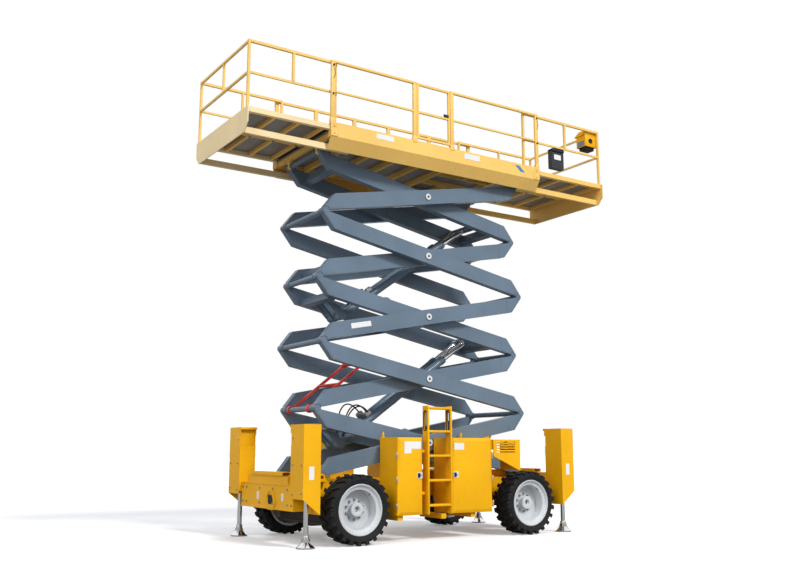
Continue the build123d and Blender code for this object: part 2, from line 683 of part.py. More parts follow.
ladder_rail = 60
ladder_back = 900
with BuildPart() as ladder:
    for x in (ladder_x[0], ladder_x[1] - ladder_rail):
        block((x, x + ladder_rail), (-cabinet_y[1], -ladder_back), (cabinet_z[0], ladder_top))
        # hand hole in the side plate's top
        grip = Plane(origin=(x - 1, -cabinet_y[1] + 95, ladder_top - 190), x_dir=(0, 1, 0),
                     z_dir=(1, 0, 0))
        with BuildSketch(grip):
            SlotOverall(220, 84, rotation=90)
        extrude(amount=ladder_rail + 2, mode=Mode.SUBTRACT)
    inner = (ladder_x[0] + ladder_rail + seat, ladder_x[1] - ladder_rail - seat)
    block(inner, (-ladder_back - 8, -ladder_back), (cabinet_z[0], ladder_top))
    for k in range(5):
        z = cabinet_z[0] + 12 + k * 282
        block(inner, (-cabinet_y[1], -cabinet_y[1] + 70), (z, z + 30))
    block(inner, (-cabinet_y[1], -ladder_back - 8 - seat), (ladder_top - 34, ladder_top))
save(ladder, "ladder")

louvre_x = (572, 1060)
louvre_z = (900, 1100, 1330)
with BuildPart() as louvres:
    side_plane = Plane(origin=(0, -cabinet_y[1], 0), x_dir=(1, 0, 0), z_dir=(0, -1, 0))
    with BuildSketch(side_plane):
        Polygon((louvre_x[0], louvre_z[1]), (louvre_x[1] - 20, louvre_z[0]),
                (louvre_x[1], louvre_z[0]), (louvre_x[1], louvre_z[2]),
                (louvre_x[0], louvre_z[2]), align=None)
    extrude(amount=-12)
    for k in range(5):
        z = 1150 + k * 34
        carve((louvre_x[0] + 60, louvre_x[1] - 90), (-cabinet_y[1] - 1, -cabinet_y[1] + 13),
              (z, z + 16))
    # top and end sheets, and the arm that carries the cover
    block(louvre_x, (-cabinet_y[1] + 12 + seat, -cabinet_y[0]), (louvre_z[2] - 8, louvre_z[2]))
    block((louvre_x[1] - 8, louvre_x[1]), (-cabinet_y[1] + 12 + seat, -cabinet_y[0]),
          (louvre_z[0], louvre_z[2] - 8 - seat))
    block((right_cabinet_x[1] + seat, louvre_x[0] + 60), (-cabinet_y[1] + 30, -cabinet_y[0]),
          (1190, louvre_z[2] - 8 - seat))
    mirror(about=Plane.XZ)
save(louvres, "louvre_covers")

with BuildPart() as engine:
    block((-100, 500), (cabinet_y[0] + 20, cabinet_y[1] - 60),
          (cabinet_z[0] + cabinet_wall + seat, 980))
save(engine, "engine")

# ---------------------------------------------------------------- platform
stringer_y = (215, 240)
cross_x = (-1940, -1500, -1060, -620, -180, 260, 780, 1300, 1740)
top_left = arm_point(stage_count, False, -pin_reach, pin_rise)
top_right = arm_point(stage_count, True, pin_reach, pin_rise)
with BuildPart() as deck:
    # side channels
    block((deck_left_x, deck_right_x), (platform_half_width - 12, platform_half_width),
          (deck_bottom, toe_top))
    block((deck_left_x, deck_right_x), (782, platform_half_width - 12 - seat),
          (deck_bottom, deck_bottom + 12))
    block((deck_left_x, deck_right_x), (770, 782 - seat), (deck_bottom, deck_top - 20 - seat))
    # slide pads under the extension decks' upper rails
    for x in (deck_left_x + 6, deck_left_x + 250, deck_right_x - 310, deck_right_x - 66):
        block((x, x + 60), (808, 872), (deck_bottom + 12 + seat, deck_top + 7 - seat))
    # slanted skirts under the side channels
    skirt = Plane(origin=(deck_left_x, 0, 0), x_dir=(0, 1, 0), z_dir=(1, 0, 0))
    with BuildSketch(skirt):
        Polygon((platform_half_width, deck_bottom - seat),
                (platform_half_width - 9, deck_bottom - seat),
                (skirt_foot - 5, extension_bottom), (skirt_foot + 4, extension_bottom), align=None)
    extrude(amount=deck_right_x - deck_left_x)
    # stringers that leave room for the upper cylinders' eyes
    block((cross_x[5] + 25 + seat, cross_x[7] - 25 - seat), stringer_y,
          (deck_bottom, deck_top - 20 - seat))
    block((cross_x[6] - 25, cross_x[6] + 25), (stringer_y[1] + seat, 770 - seat),
          (deck_bottom, deck_top - 20 - seat))
    # clevis ears for the fixed end
    ear_span = (inner_arm[0] + 2, (inner_arm[0] + inner_arm[1]) / 2 - 3)
    plane = Plane(origin=(top_left[0], -ear_span[1], top_left[1]), x_dir=(1, 0, 0),
                  z_dir=(0, -1, 0))
    rise = deck_bottom - seat - top_left[1]
    with BuildSketch(plane):
        with BuildLine():
            Polyline((-40, 0), (40, 0), (160, rise), (-60, rise), close=True)
        make_face()
        Circle(tip_boss_radius)
        Circle(pin_radius + running, mode=Mode.SUBTRACT)
    extrude(amount=-(ear_span[1] - ear_span[0]))
    # tracks that rest on the loose end's rollers
    face = outer_arm[1] + 4
    track_z = top_right[1] + roller_radius + 1
    block((-230, 1720), (-face - 64, -face), (track_z, track_z + 10))
    block((-230, 1720), (-face - 64, -face - 54), (track_z + 10 + seat, deck_bottom - seat))
    mirror(about=Plane.XZ)
    for x in cross_x:
        if x != cross_x[6]:
            block((x - 25, x + 25), (-770 + seat, 770 - seat), (deck_bottom, deck_top - 20 - seat))
save(deck, "deck_frame")

with BuildPart() as floor:
    block((deck_left_x, deck_right_x), (-788, 788), (deck_top - 20, deck_top))
save(floor, "deck_floor")

main_y = platform_half_width - rail_tube / 2
extension_y = main_y - 44
half_tube = rail_tube / 2


def guard_bars(y, posts, post_width, foot_z, open_bays=(), short_posts=()):
    """Posts and middle rails of one straight run along X."""
    half = post_width / 2
    mid_z = rail_top_z - mid_rail_drop
    ordered = sorted(posts)
    for x in ordered:
        block((x - half, x + half), (y - half_tube, y + half_tube),
              (foot_z, rail_top_z - rail_tube - seat))
    for x in short_posts:
        block((x - half, x + half), (y - half_tube, y + half_tube),
              (mid_z + 15 + seat, rail_top_z - rail_tube - seat))
    for x0, x1 in zip(ordered, ordered[1:]):
        if (x0, x1) in open_bays:
            continue
        block((x0 + half + seat, x1 - half - seat), (y - 12, y + 12), (mid_z - 15, mid_z + 15))


gate_jambs = (gate_x[0] - main_post / 2, gate_x[1] + main_post / 2)
end_posts = (deck_left_x + main_post / 2, deck_right_x - main_post / 2)
near_posts = (end_posts[0], -1270, *gate_jambs, 915, end_posts[1])
gate_pin = (gate_x[0] + 3, -main_y + 30)
gate_hinge_z = (5900, 6300)
with BuildPart() as near_guard:
    for z in gate_hinge_z:
        block((gate_pin[0] - 18, gate_pin[0] + 4), (-main_y + half_tube + seat, gate_pin[1] + 9),
              (z - 38, z - 21))
        with Locations((*gate_pin, z)):
            Cylinder(6, 76)
    guard_bars(-main_y, near_posts, main_post, toe_top + seat, [gate_jambs])
    for x in ((deck_left_x, gate_x[0]), (gate_x[1], deck_right_x)):
        block(x, (-main_y - half_tube, -main_y + half_tube), (rail_top_z - rail_tube, rail_top_z))
save(near_guard, "guard_rail_near")

far_posts = (end_posts[0], -1270, -565, 90, 915, end_posts[1])
with BuildPart() as far_guard:
    guard_bars(main_y, far_posts, main_post, toe_top + seat)
    block((deck_left_x, deck_right_x), (main_y - half_tube, main_y + half_tube),
          (rail_top_z - rail_tube, rail_top_z))
save(far_guard, "guard_rail_far")

gate_y = (-main_y - 15, -main_y + 15)
gate_z = (toe_top + 40, rail_top_z - 10)
with BuildPart() as gate:
    g0, g1 = gate_x[0] + 6, gate_x[1] - 8
    for x in (g0, g1 - 32):
        block((x, x + 32), gate_y, gate_z)
    for z in (gate_z[0], rail_top_z - mid_rail_drop - 16, gate_z[1] - 32):
        block((g0 + 32 + seat, g1 - 32 - seat), gate_y, (z, z + 32))
    for z in gate_hinge_z:
        block((gate_pin[0], gate_pin[0] + 26), (gate_y[1] + seat, gate_pin[1] + 6),
              (z - 20, z + 20))
        with Locations((*gate_pin, z)):
            Cylinder(10, 40)
        with Locations((*gate_pin, z)):
            Cylinder(6 + running, 42, mode=Mode.SUBTRACT)
save(gate, "gate")

extension_table = [  # name, outward, long posts' x, short post's x, frame start
    ("left", -1, (-1890, -3182), -2535, -1630),
    ("right", 1, (1525, 3182), 2425, 1430),
]
plate = 12
for name, outward, posts, short_post, frame_start in extension_table:
    end = outward * platform_half_length
    inside = end - outward * plate
    with BuildPart() as frame:
        block((frame_start, inside - outward * seat), (735, 785),
              (extension_bottom, extension_bottom + 83))
        block((frame_start, inside - outward * seat), (808, 872), (deck_top + 7, extension_floor))
        mirror(about=Plane.XZ)
        with BuildSketch(Plane(origin=(inside, 0, 0), x_dir=(0, 1, 0), z_dir=(1, 0, 0))):
            Polygon((-platform_half_width, extension_floor),
                    (-platform_half_width, extension_bottom + 110),
                    (-skirt_foot, extension_bottom), (skirt_foot, extension_bottom),
                    (platform_half_width, extension_bottom + 110),
                    (platform_half_width, extension_floor), align=None)
        extrude(amount=outward * plate)
    save(frame, f"extension_{name}_frame")
    with BuildPart() as panel:
        block((frame_start, inside - outward * seat), (-808 + seat, 808 - seat),
              (extension_floor - 15, extension_floor))
        spacing = 0.23 * (end - frame_start)
        for k in range(5):
            x = frame_start + 0.04 * (end - frame_start) + k * spacing
            block((x - 20, x + 20), (-808 + seat, 808 - seat),
                  (deck_top + 7, extension_floor - 15 - seat))
            if k < 4:
                block((x + outward * (20 + seat), x + spacing - outward * (20 + seat)), (-20, 20),
                      (deck_top + 7, extension_floor - 15 - seat))
    save(panel, f"extension_{name}_deck")
    with BuildPart() as guard:
        guard_bars(-extension_y, posts, extension_post, extension_floor + seat,
                   short_posts=[short_post])
        first = posts[0] - outward * extension_post / 2
        block((first, end), (-extension_y - half_tube, -extension_y + half_tube),
              (rail_top_z - rail_tube, rail_top_z))
        mirror(about=Plane.XZ)
        inner = extension_y - half_tube - seat
        ends = (posts[-1] - 14, posts[-1] + 14)
        for drop in (half_tube, mid_rail_drop):
            z = rail_top_z - drop
            block(ends, (-inner, inner), (z - 15, z + 15))
        block(ends, (-14, 14),
              (rail_top_z - mid_rail_drop + 15 + seat, rail_top_z - half_tube - 15 - seat))
    save(guard, f"extension_{name}_guard")

control_x = (2560, 3120)
control_y = (-extension_y + half_tube + seat, -extension_y + half_tube + 220)
with BuildPart() as control:
    block(control_x, control_y, (6080, 6400))
    hood = Plane(origin=(control_x[0] - 10, 0, 6400 + seat), x_dir=(0, 1, 0), z_dir=(1, 0, 0))
    with BuildSketch(hood):
        Polygon((control_y[0], 0), (control_y[1] + 30, 0), (control_y[1] - 60, 78),
                (control_y[0], 78), align=None)
    extrude(amount=control_x[1] - control_x[0] + 20)
save(control, "control_box")

with BuildPart() as documents:
    block((2150, 2407 - seat), (-extension_y + half_tube + seat, -extension_y + half_tube + 90),
          (5680, 6000))
    # flange that hangs from the middle rail
    block((2170, 2387), (-extension_y - 12, -extension_y + half_tube + 60),
          (6000 + seat, rail_top_z - mid_rail_drop - 15 - seat))
save(documents, "document_box")
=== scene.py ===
"""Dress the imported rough-terrain scissor lift with paint, rubber, steel and its small fittings."""
import json
import logging
import math
from dataclasses import dataclass
from enum import Enum
from typing import Callable, Sequence

import bpy
from mathutils import Matrix, Vector


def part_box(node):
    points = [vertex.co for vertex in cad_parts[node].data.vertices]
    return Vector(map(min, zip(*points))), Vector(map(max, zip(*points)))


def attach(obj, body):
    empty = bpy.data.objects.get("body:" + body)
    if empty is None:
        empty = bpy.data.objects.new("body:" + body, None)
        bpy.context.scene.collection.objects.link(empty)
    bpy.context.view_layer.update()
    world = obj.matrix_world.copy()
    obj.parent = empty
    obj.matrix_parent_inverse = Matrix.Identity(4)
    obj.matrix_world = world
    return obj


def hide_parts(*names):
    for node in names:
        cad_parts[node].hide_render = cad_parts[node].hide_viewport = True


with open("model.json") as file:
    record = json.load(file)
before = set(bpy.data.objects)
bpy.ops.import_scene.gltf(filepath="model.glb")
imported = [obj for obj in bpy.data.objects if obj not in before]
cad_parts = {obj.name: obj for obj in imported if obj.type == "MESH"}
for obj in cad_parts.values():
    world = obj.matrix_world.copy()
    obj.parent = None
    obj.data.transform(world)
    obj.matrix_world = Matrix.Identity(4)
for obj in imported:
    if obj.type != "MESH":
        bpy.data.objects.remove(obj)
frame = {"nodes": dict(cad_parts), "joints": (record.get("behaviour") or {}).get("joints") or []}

log = logging.getLogger("scissor_lift")
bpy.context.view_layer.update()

Point = tuple[float, float, float]
FaceTest = Callable[[Vector, Vector], bool]


# ------------------------------------------------------------------ finishes
class Grain(Enum):
    """Fine texture of a surface: bump scale per metre and bump height in metres."""

    PAINT = (520.0, 0.00025)
    RUBBER = (190.0, 0.0012)
    CAST = (150.0, 0.0010)
    BRUSHED = (700.0, 0.00015)
    MOULDED = (600.0, 0.0003)
    TREAD_PLATE = (34.0, 0.0030)
    CONCRETE = (40.0, 0.0008)


@dataclass(frozen=True)
class Finish:
    """One painted, moulded or bare surface, as a procedural material."""

    name: str
    slot: str
    colour: Point
    worn: Point
    grain: Grain
    roughness: float = 0.45
    metallic: float = 0.0
    variation: float = 0.06
    wear: float = 0.25
    dust: float = 0.25
    coat: float = 0.0

    def build(self) -> bpy.types.Material:
        """Make the node material, or return the one made before.

        Returns:
            The material, which reads Object coordinates only.
        """
        made = bpy.data.materials.get(self.name)
        if made is not None:
            return made
        made = bpy.data.materials.new(self.name)
        made.use_nodes = True
        tree = made.node_tree
        shader = tree.nodes["Principled BSDF"]
        shader.inputs["Metallic"].default_value = self.metallic
        shader.inputs["Specular IOR Level"].default_value = 0.25
        shader.inputs["Coat Weight"].default_value = self.coat
        shader.inputs["Coat Roughness"].default_value = 0.12
        coords = tree.nodes.new("ShaderNodeTexCoord").outputs["Object"]
        broad = self._noise(tree, coords, 1.7, 4.0)
        fine = self._noise(tree, coords, 23.0, 5.0)
        dark = self._shade(self.colour, 1.0 - self.variation)
        light = self._shade(self.colour, 1.0 + self.variation)
        body = self._mix(tree, self._span(tree, broad, 0.3, 0.7, 0.0, 1.0), dark, light)
        body = self._mix(tree, self._span(tree, fine, 0.58, 0.78, 0.0, 0.22), body,
                         self._shade(self.colour, 0.72))
        edge = self._edge_mask(tree, fine)
        body = self._mix(tree, edge, body, linear(self.worn))
        low = self._low_mask(tree, coords, fine)
        body = self._mix(tree, low, body, linear((0.62, 0.55, 0.45)))
        tree.links.new(body, shader.inputs["Base Color"])
        rough = self._span(tree, fine, 0.25, 0.75, max(self.roughness - 0.09, 0.04),
                           min(self.roughness + 0.11, 1.0))
        tree.links.new(rough, shader.inputs["Roughness"])
        scale, height = self.grain.value
        if self.grain is Grain.TREAD_PLATE:
            texture = tree.nodes.new("ShaderNodeTexVoronoi")
            texture.inputs["Scale"].default_value = scale
            tree.links.new(coords, texture.inputs["Vector"])
            relief = texture.outputs["Distance"]
        else:
            relief = self._noise(tree, coords, scale, 3.0)
        bump = tree.nodes.new("ShaderNodeBump")
        bump.inputs["Strength"].default_value = 0.55
        bump.inputs["Distance"].default_value = height
        tree.links.new(relief, bump.inputs["Height"])
        tree.links.new(bump.outputs["Normal"], shader.inputs["Normal"])
        return made

    @staticmethod
    def _shade(colour: Point, factor: float) -> tuple[float, float, float, float]:
        """Scale a display colour and return it as linear RGBA."""
        return linear(tuple(min(c * factor, 1.0) for c in colour))

    @staticmethod
    def _noise(tree: bpy.types.NodeTree, coords: bpy.types.NodeSocket, scale: float,
               detail: float) -> bpy.types.NodeSocket:
        """Add a noise texture on Object coordinates and return its value."""
        node = tree.nodes.new("ShaderNodeTexNoise")
        node.inputs["Scale"].default_value = scale
        node.inputs["Detail"].default_value = detail
        tree.links.new(coords, node.inputs["Vector"])
        return node.outputs["Fac"]

    @staticmethod
    def _span(tree: bpy.types.NodeTree, value: bpy.types.NodeSocket, low: float, high: float,
              out_low: float, out_high: float) -> bpy.types.NodeSocket:
        """Map a value from one range to another and clamp it."""
        node = tree.nodes.new("ShaderNodeMapRange")
        for index, number in enumerate((low, high, out_low, out_high), start=1):
            node.inputs[index].default_value = number
        tree.links.new(value, node.inputs[0])
        return node.outputs[0]

    @staticmethod
    def _mix(tree: bpy.types.NodeTree, share: bpy.types.NodeSocket, first: object,
             second: object) -> bpy.types.NodeSocket:
        """Mix two colours, given as sockets or as linear RGBA."""
        node = tree.nodes.new("ShaderNodeMix")
        node.data_type = "RGBA"
        tree.links.new(share, node.inputs[0])
        for index, colour in ((6, first), (7, second)):
            if isinstance(colour, bpy.types.NodeSocket):
                tree.links.new(colour, node.inputs[index])
            else:
                node.inputs[index].default_value = colour
        return node.outputs[2]

    def _edge_mask(self, tree: bpy.types.NodeTree,
                   noise: bpy.types.NodeSocket) -> bpy.types.NodeSocket:
        """Mask that is high on worn outer edges."""
        rounded = tree.nodes.new("ShaderNodeBevel")
        rounded.samples = 3
        rounded.inputs["Radius"].default_value = 0.006
        plain = tree.nodes.new("ShaderNodeNewGeometry")
        dot = tree.nodes.new("ShaderNodeVectorMath")
        dot.operation = "DOT_PRODUCT"
        tree.links.new(rounded.outputs["Normal"], dot.inputs[0])
        tree.links.new(plain.outputs["True Normal"], dot.inputs[1])
        edge = self._span(tree, dot.outputs["Value"], 0.985, 0.86, 0.0, self.wear)
        patch = self._span(tree, noise, 0.42, 0.6, 0.15, 1.0)
        return self._product(tree, edge, patch)

    def _low_mask(self, tree: bpy.types.NodeTree, coords: bpy.types.NodeSocket,
                  noise: bpy.types.NodeSocket) -> bpy.types.NodeSocket:
        """Mask of dust that thins out with height above the ground."""
        split = tree.nodes.new("ShaderNodeSeparateXYZ")
        tree.links.new(coords, split.inputs[0])
        low = self._span(tree, split.outputs["Z"], 0.0, 0.9, self.dust, 0.0)
        patch = self._span(tree, noise, 0.35, 0.7, 0.2, 1.0)
        return self._product(tree, low, patch)

    @staticmethod
    def _product(tree: bpy.types.NodeTree, first: bpy.types.NodeSocket,
                 second: bpy.types.NodeSocket) -> bpy.types.NodeSocket:
        """Multiply two values."""
        node = tree.nodes.new("ShaderNodeMath")
        node.operation = "MULTIPLY"
        tree.links.new(first, node.inputs[0])
        tree.links.new(second, node.inputs[1])
        return node.outputs[0]


def linear(colour: Sequence[float]) -> tuple[float, float, float, float]:
    """Turn a display colour into linear RGBA."""
    parts = [c / 12.92 if c <= 0.04045 else ((c + 0.055) / 1.055) ** 2.4 for c in colour]
    return (parts[0], parts[1], parts[2], 1.0)


YELLOW = Finish("machine_yellow", "yellow_paint", (0.945, 0.695, 0.000), (0.86, 0.62, 0.08),
                Grain.PAINT, roughness=0.46, variation=0.03, wear=0.25, dust=0.03, coat=0.0)
# Painted highlight: a paler copy of the machine yellow for the platform's rails, toe boards, frames and
# gate, standing in for the strong light on the high parts.
HIGHLIGHT_YELLOW = Finish("platform_highlight_yellow", "yellow_paint", (0.965, 0.790, 0.430), (0.93, 0.82, 0.60),
              Grain.PAINT, roughness=0.46, variation=0.03, wear=0.25, dust=0.0, coat=0.0)
# Painted highlight: an even paler copy of the machine yellow for the left extension's frame, standing in
# for the light that washes over it.
BRIGHTEST_HIGHLIGHT_YELLOW = Finish("brightest_highlight_yellow", "yellow_paint", (0.960, 0.865, 0.660), (0.93, 0.86, 0.72),
                  Grain.PAINT, roughness=0.46, variation=0.03, wear=0.25, dust=0.0, coat=0.0)
SLATE = Finish("arm_slate", "arm_grey", (0.395, 0.465, 0.530), (0.56, 0.62, 0.67), Grain.PAINT,
               roughness=0.42, variation=0.05, wear=0.45, dust=0.03, coat=0.15)
RIM = Finish("rim_silver", "rim_grey", (0.80, 0.815, 0.825), (0.55, 0.56, 0.57), Grain.PAINT,
             roughness=0.38, variation=0.03, wear=0.35, dust=0.16, coat=0.1)
RUBBER = Finish("tyre_rubber", "tyre_black", (0.085, 0.088, 0.097), (0.22, 0.22, 0.23),
                Grain.RUBBER, roughness=0.66, variation=0.10, wear=0.35, dust=0.02)
CHROME = Finish("rod_chrome", "rod_chrome", (0.80, 0.81, 0.82), (0.62, 0.63, 0.64),
                Grain.BRUSHED, roughness=0.20, metallic=1.0, variation=0.03, dust=0.05)
ZINC = Finish("zinc_plate", "rim_grey", (0.66, 0.67, 0.68), (0.82, 0.83, 0.84), Grain.BRUSHED,
              roughness=0.38, metallic=0.85, variation=0.06, dust=0.10)
RED = Finish("prop_red", "prop_red", (0.800, 0.125, 0.085), (0.62, 0.36, 0.32), Grain.PAINT,
             roughness=0.42, variation=0.05, wear=0.40, dust=0.05, coat=0.1)
IRON = Finish("cast_iron", "engine_dark", (0.20, 0.20, 0.21), (0.36, 0.36, 0.36), Grain.CAST,
              roughness=0.6, metallic=0.3, variation=0.10, dust=0.2)
DARK = Finish("dark_plastic", "panel_dark", (0.175, 0.190, 0.205), (0.34, 0.35, 0.36),
              Grain.MOULDED, roughness=0.5, variation=0.05, wear=0.3, dust=0.1)
# Near-black rubber for hoses, grips, handles and pins; also the painted shade of the dark discs and
# sheets put in the hub bores, the gusset holes and the rail brackets' holes.
HOSE_AND_HOLE_SHADE = Finish("hose_rubber_and_hole_shade", "panel_dark", (0.075, 0.078, 0.085), (0.18, 0.18, 0.18),
              Grain.RUBBER, roughness=0.55, variation=0.08, wear=0.2, dust=0.1)
PLATE = Finish("tread_plate", "deck_grey", (0.56, 0.55, 0.53), (0.75, 0.74, 0.72),
               Grain.TREAD_PLATE, roughness=0.42, metallic=0.35, variation=0.07, dust=0.0)
WHITE = Finish("blank_placard", "rim_grey", (0.92, 0.92, 0.915), (0.75, 0.75, 0.74),
               Grain.MOULDED, roughness=0.4, variation=0.02, wear=0.1, dust=0.05)
BLUE = Finish("blue_placard", "panel_dark", (0.30, 0.52, 0.72), (0.55, 0.65, 0.72),
              Grain.MOULDED, roughness=0.4, variation=0.03, wear=0.1, dust=0.05)
CAP_WHITE = Finish("cap_white", "rim_grey", (0.86, 0.87, 0.87), (0.60, 0.61, 0.62),
                   Grain.PAINT, roughness=0.4, variation=0.03, wear=0.3, dust=0.0)
LABEL_GREY = Finish("grey_panel", "rim_grey", (0.50, 0.54, 0.58), (0.65, 0.67, 0.69),
                    Grain.MOULDED, roughness=0.5, variation=0.03, wear=0.2, dust=0.0)

# The platform's frames, rails and gate take the painted-highlight yellows.
NODE_FINISHES: dict[str, Finish] = {
    "axle_front": IRON, "axle_rear": IRON, "knuckle_near": IRON, "knuckle_far": IRON,
    "engine": IRON, "safety_prop": RED, "deck_floor": PLATE, "deck_frame": HIGHLIGHT_YELLOW, "gate": HIGHLIGHT_YELLOW,
    "guard_rail_far": HIGHLIGHT_YELLOW, "extension_left_guard": HIGHLIGHT_YELLOW, "extension_right_guard": HIGHLIGHT_YELLOW,
    "extension_left_frame": BRIGHTEST_HIGHLIGHT_YELLOW, "extension_right_frame": HIGHLIGHT_YELLOW, "document_box": DARK,
    "extension_left_deck": PLATE, "extension_right_deck": PLATE, "control_box": LABEL_GREY,
}
PREFIX_FINISHES: tuple[tuple[str, Finish], ...] = (
    ("tyre_", RUBBER), ("rim_", RIM), ("outer_frame_", SLATE), ("inner_frame_", SLATE),
    ("jack_", CHROME),
)


def dress_nodes() -> None:
    """Give every node of the frame its material."""
    for name, node in frame["nodes"].items():
        finish = NODE_FINISHES.get(name)
        if finish is None:
            matches = [f for prefix, f in PREFIX_FINISHES if name.startswith(prefix)]
            finish = matches[0] if matches else YELLOW
        if name.endswith("_cylinder_barrels"):
            finish = SLATE
        if name.endswith("_cylinder_rods"):
            finish = CHROME
        material = finish.build()
        if not node.material_slots:
            node.data.materials.append(material)
        for slot in node.material_slots:
            slot.material = material
        log.info("node %s: %s", name, finish.name)


# ------------------------------------------------------------------ bench tools
class Bench:
    """Operators for shaping one piece at a time."""

    def __init__(self) -> None:
        """Start with nothing made."""
        self.count = 0

    @staticmethod
    def deselect() -> None:
        """Leave edit mode and drop every selection."""
        if bpy.context.object is not None and bpy.context.object.mode != "OBJECT":
            bpy.ops.object.mode_set(mode="OBJECT")
        bpy.ops.object.select_all(action="DESELECT")

    def focus(self, piece: bpy.types.Object) -> None:
        """Select one object alone and make it active."""
        self.deselect()
        piece.select_set(True)
        bpy.context.view_layer.objects.active = piece

    def box(self, name: str, low: Point, high: Point) -> bpy.types.Object:
        """Start a piece as a box between two corners.

        Args:
            name: the piece's name.
            low: one corner in metres.
            high: the opposite corner in metres.

        Returns:
            The object, at the origin with its place in its mesh.
        """
        self.deselect()
        centre = (Vector(low) + Vector(high)) / 2
        bpy.ops.mesh.primitive_cube_add(size=1.0, location=centre)
        piece = bpy.context.object
        piece.name = name
        piece.scale = [max(abs(b - a), 1e-5) for a, b in zip(low, high)]
        bpy.ops.object.transform_apply(location=True, rotation=True, scale=True)
        return piece

    def drum(self, name: str, start: Point, end: Point, radius: float,
             sides: int = 28) -> bpy.types.Object:
        """Start a piece as a round bar between two points.

        Args:
            name: the piece's name.
            start: centre of one end.
            end: centre of the other end.
            radius: the bar's radius.
            sides: number of flats round it.

        Returns:
            The object, at the origin with its place in its mesh.
        """
        self.deselect()
        axis = Vector(end) - Vector(start)
        middle = (Vector(end) + Vector(start)) / 2
        bpy.ops.mesh.primitive_cylinder_add(vertices=sides, radius=radius, depth=axis.length,
                                            location=middle,
                                            rotation=axis.to_track_quat("Z", "Y").to_euler())
        piece = bpy.context.object
        piece.name = name
        bpy.ops.object.transform_apply(location=True, rotation=True, scale=True)
        return piece

    def torus(self, name: str, centre: Point, axis: Point, radius: float, thick: float,
              sides: int = 48, rounds: int = 10) -> bpy.types.Object:
        """Start a piece as a ring about an axis."""
        self.deselect()
        turn = Vector(axis).to_track_quat("Z", "Y").to_euler()
        bpy.ops.mesh.primitive_torus_add(location=centre, rotation=turn, major_radius=radius,
                                         minor_radius=thick, major_segments=sides,
                                         minor_segments=rounds)
        piece = bpy.context.object
        piece.name = name
        bpy.ops.object.transform_apply(location=True, rotation=True, scale=True)
        return piece

    def pick_faces(self, piece: bpy.types.Object, test: FaceTest) -> None:
        """Enter edit mode with only the faces that pass the test selected."""
        self.focus(piece)
        mesh = piece.data
        for item in (*mesh.vertices, *mesh.edges, *mesh.polygons):
            item.select = False
        for face in mesh.polygons:
            if test(face.center, face.normal):
                face.select = True
        bpy.ops.object.mode_set(mode="EDIT")
        bpy.ops.mesh.select_mode(type="FACE")

    def recess(self, piece: bpy.types.Object, test: FaceTest, margin: float,
               depth: float) -> None:
        """Inset the chosen faces and push them in, or out where the depth is negative."""
        self.pick_faces(piece, test)
        bpy.ops.mesh.inset(thickness=margin, depth=0.0)
        bpy.ops.mesh.inset(thickness=0.0, depth=-depth)
        bpy.ops.object.mode_set(mode="OBJECT")

    def round_edges(self, piece: bpy.types.Object, width: float, steps: int = 2,
                    angle: float = 40.0) -> None:
        """Bevel the sharp edges with a modifier and apply it."""
        self.focus(piece)
        modifier = piece.modifiers.new("edges", "BEVEL")
        modifier.width = width
        modifier.segments = steps
        modifier.limit_method = "ANGLE"
        modifier.angle_limit = math.radians(angle)
        bpy.ops.object.modifier_apply(modifier=modifier.name)

    def outline(self, name: str, plane: Matrix, points: Sequence[tuple[float, float]],
                depth: float) -> bpy.types.Object:
        """Extrude a flat outline in edit mode.

        Args:
            name: the piece's name.
            plane: matrix whose X and Y hold the outline and whose Z is the depth's direction.
            points: the outline's corners in the plane.
            depth: thickness along the plane's Z.

        Returns:
            The closed piece.
        """
        self.deselect()
        bpy.ops.mesh.primitive_circle_add(vertices=len(points), radius=1.0, fill_type="NGON")
        piece = bpy.context.object
        piece.name = name
        for vertex, (x, y) in zip(piece.data.vertices, points):
            vertex.co = (x, y, 0.0)
        bpy.ops.object.mode_set(mode="EDIT")
        bpy.ops.mesh.select_all(action="SELECT")
        bpy.ops.mesh.extrude_region_move(TRANSFORM_OT_translate={"value": (0.0, 0.0, depth)})
        bpy.ops.object.mode_set(mode="OBJECT")
        piece.data.transform(plane)
        return piece

    def hose(self, name: str, points: Sequence[Point], radius: float) -> bpy.types.Object:
        """Make a clipped hose along a smooth curve and turn it into a mesh."""
        self.deselect()
        bpy.ops.curve.primitive_nurbs_path_add()
        piece = bpy.context.object
        piece.name = name
        spline = piece.data.splines[0]
        places = [Vector(p) for p in points]
        while len(places) < len(spline.points):
            places.insert(1, (places[0] + places[1]) / 2)
        if len(places) > len(spline.points):
            spline.points.add(len(places) - len(spline.points))
        for point, place in zip(spline.points, places):
            point.co = (*place, 1.0)
        spline.order_u = 4
        spline.use_endpoint_u = True
        piece.data.bevel_depth = radius
        piece.data.bevel_resolution = 3
        piece.data.resolution_u = 6
        piece.data.use_fill_caps = True
        bpy.ops.object.convert(target="MESH")
        return bpy.context.object

    def twin(self, piece: bpy.types.Object, name: str, move: Matrix) -> bpy.types.Object:
        """Copy a piece with its own mesh and move the copy."""
        self.deselect()
        piece.select_set(True)
        bpy.context.view_layer.objects.active = piece
        bpy.ops.object.duplicate(linked=False)
        copy = bpy.context.object
        copy.name = name
        copy.data.transform(move)
        return copy

    def copy_node(self, name: str, node_name: str) -> bpy.types.Object:
        """Copy a CAD node's mesh, merged, as the start of a piece that stands for it."""
        node = frame["nodes"][node_name]
        piece = bpy.data.objects.new(name, node.data.copy())
        bpy.context.scene.collection.objects.link(piece)
        piece.data.transform(node.matrix_world)
        self.focus(piece)
        bpy.ops.mesh.customdata_custom_splitnormals_clear()
        bpy.ops.object.mode_set(mode="EDIT")
        bpy.ops.mesh.select_all(action="SELECT")
        bpy.ops.mesh.remove_doubles(threshold=0.00002)
        bpy.ops.object.mode_set(mode="OBJECT")
        return piece

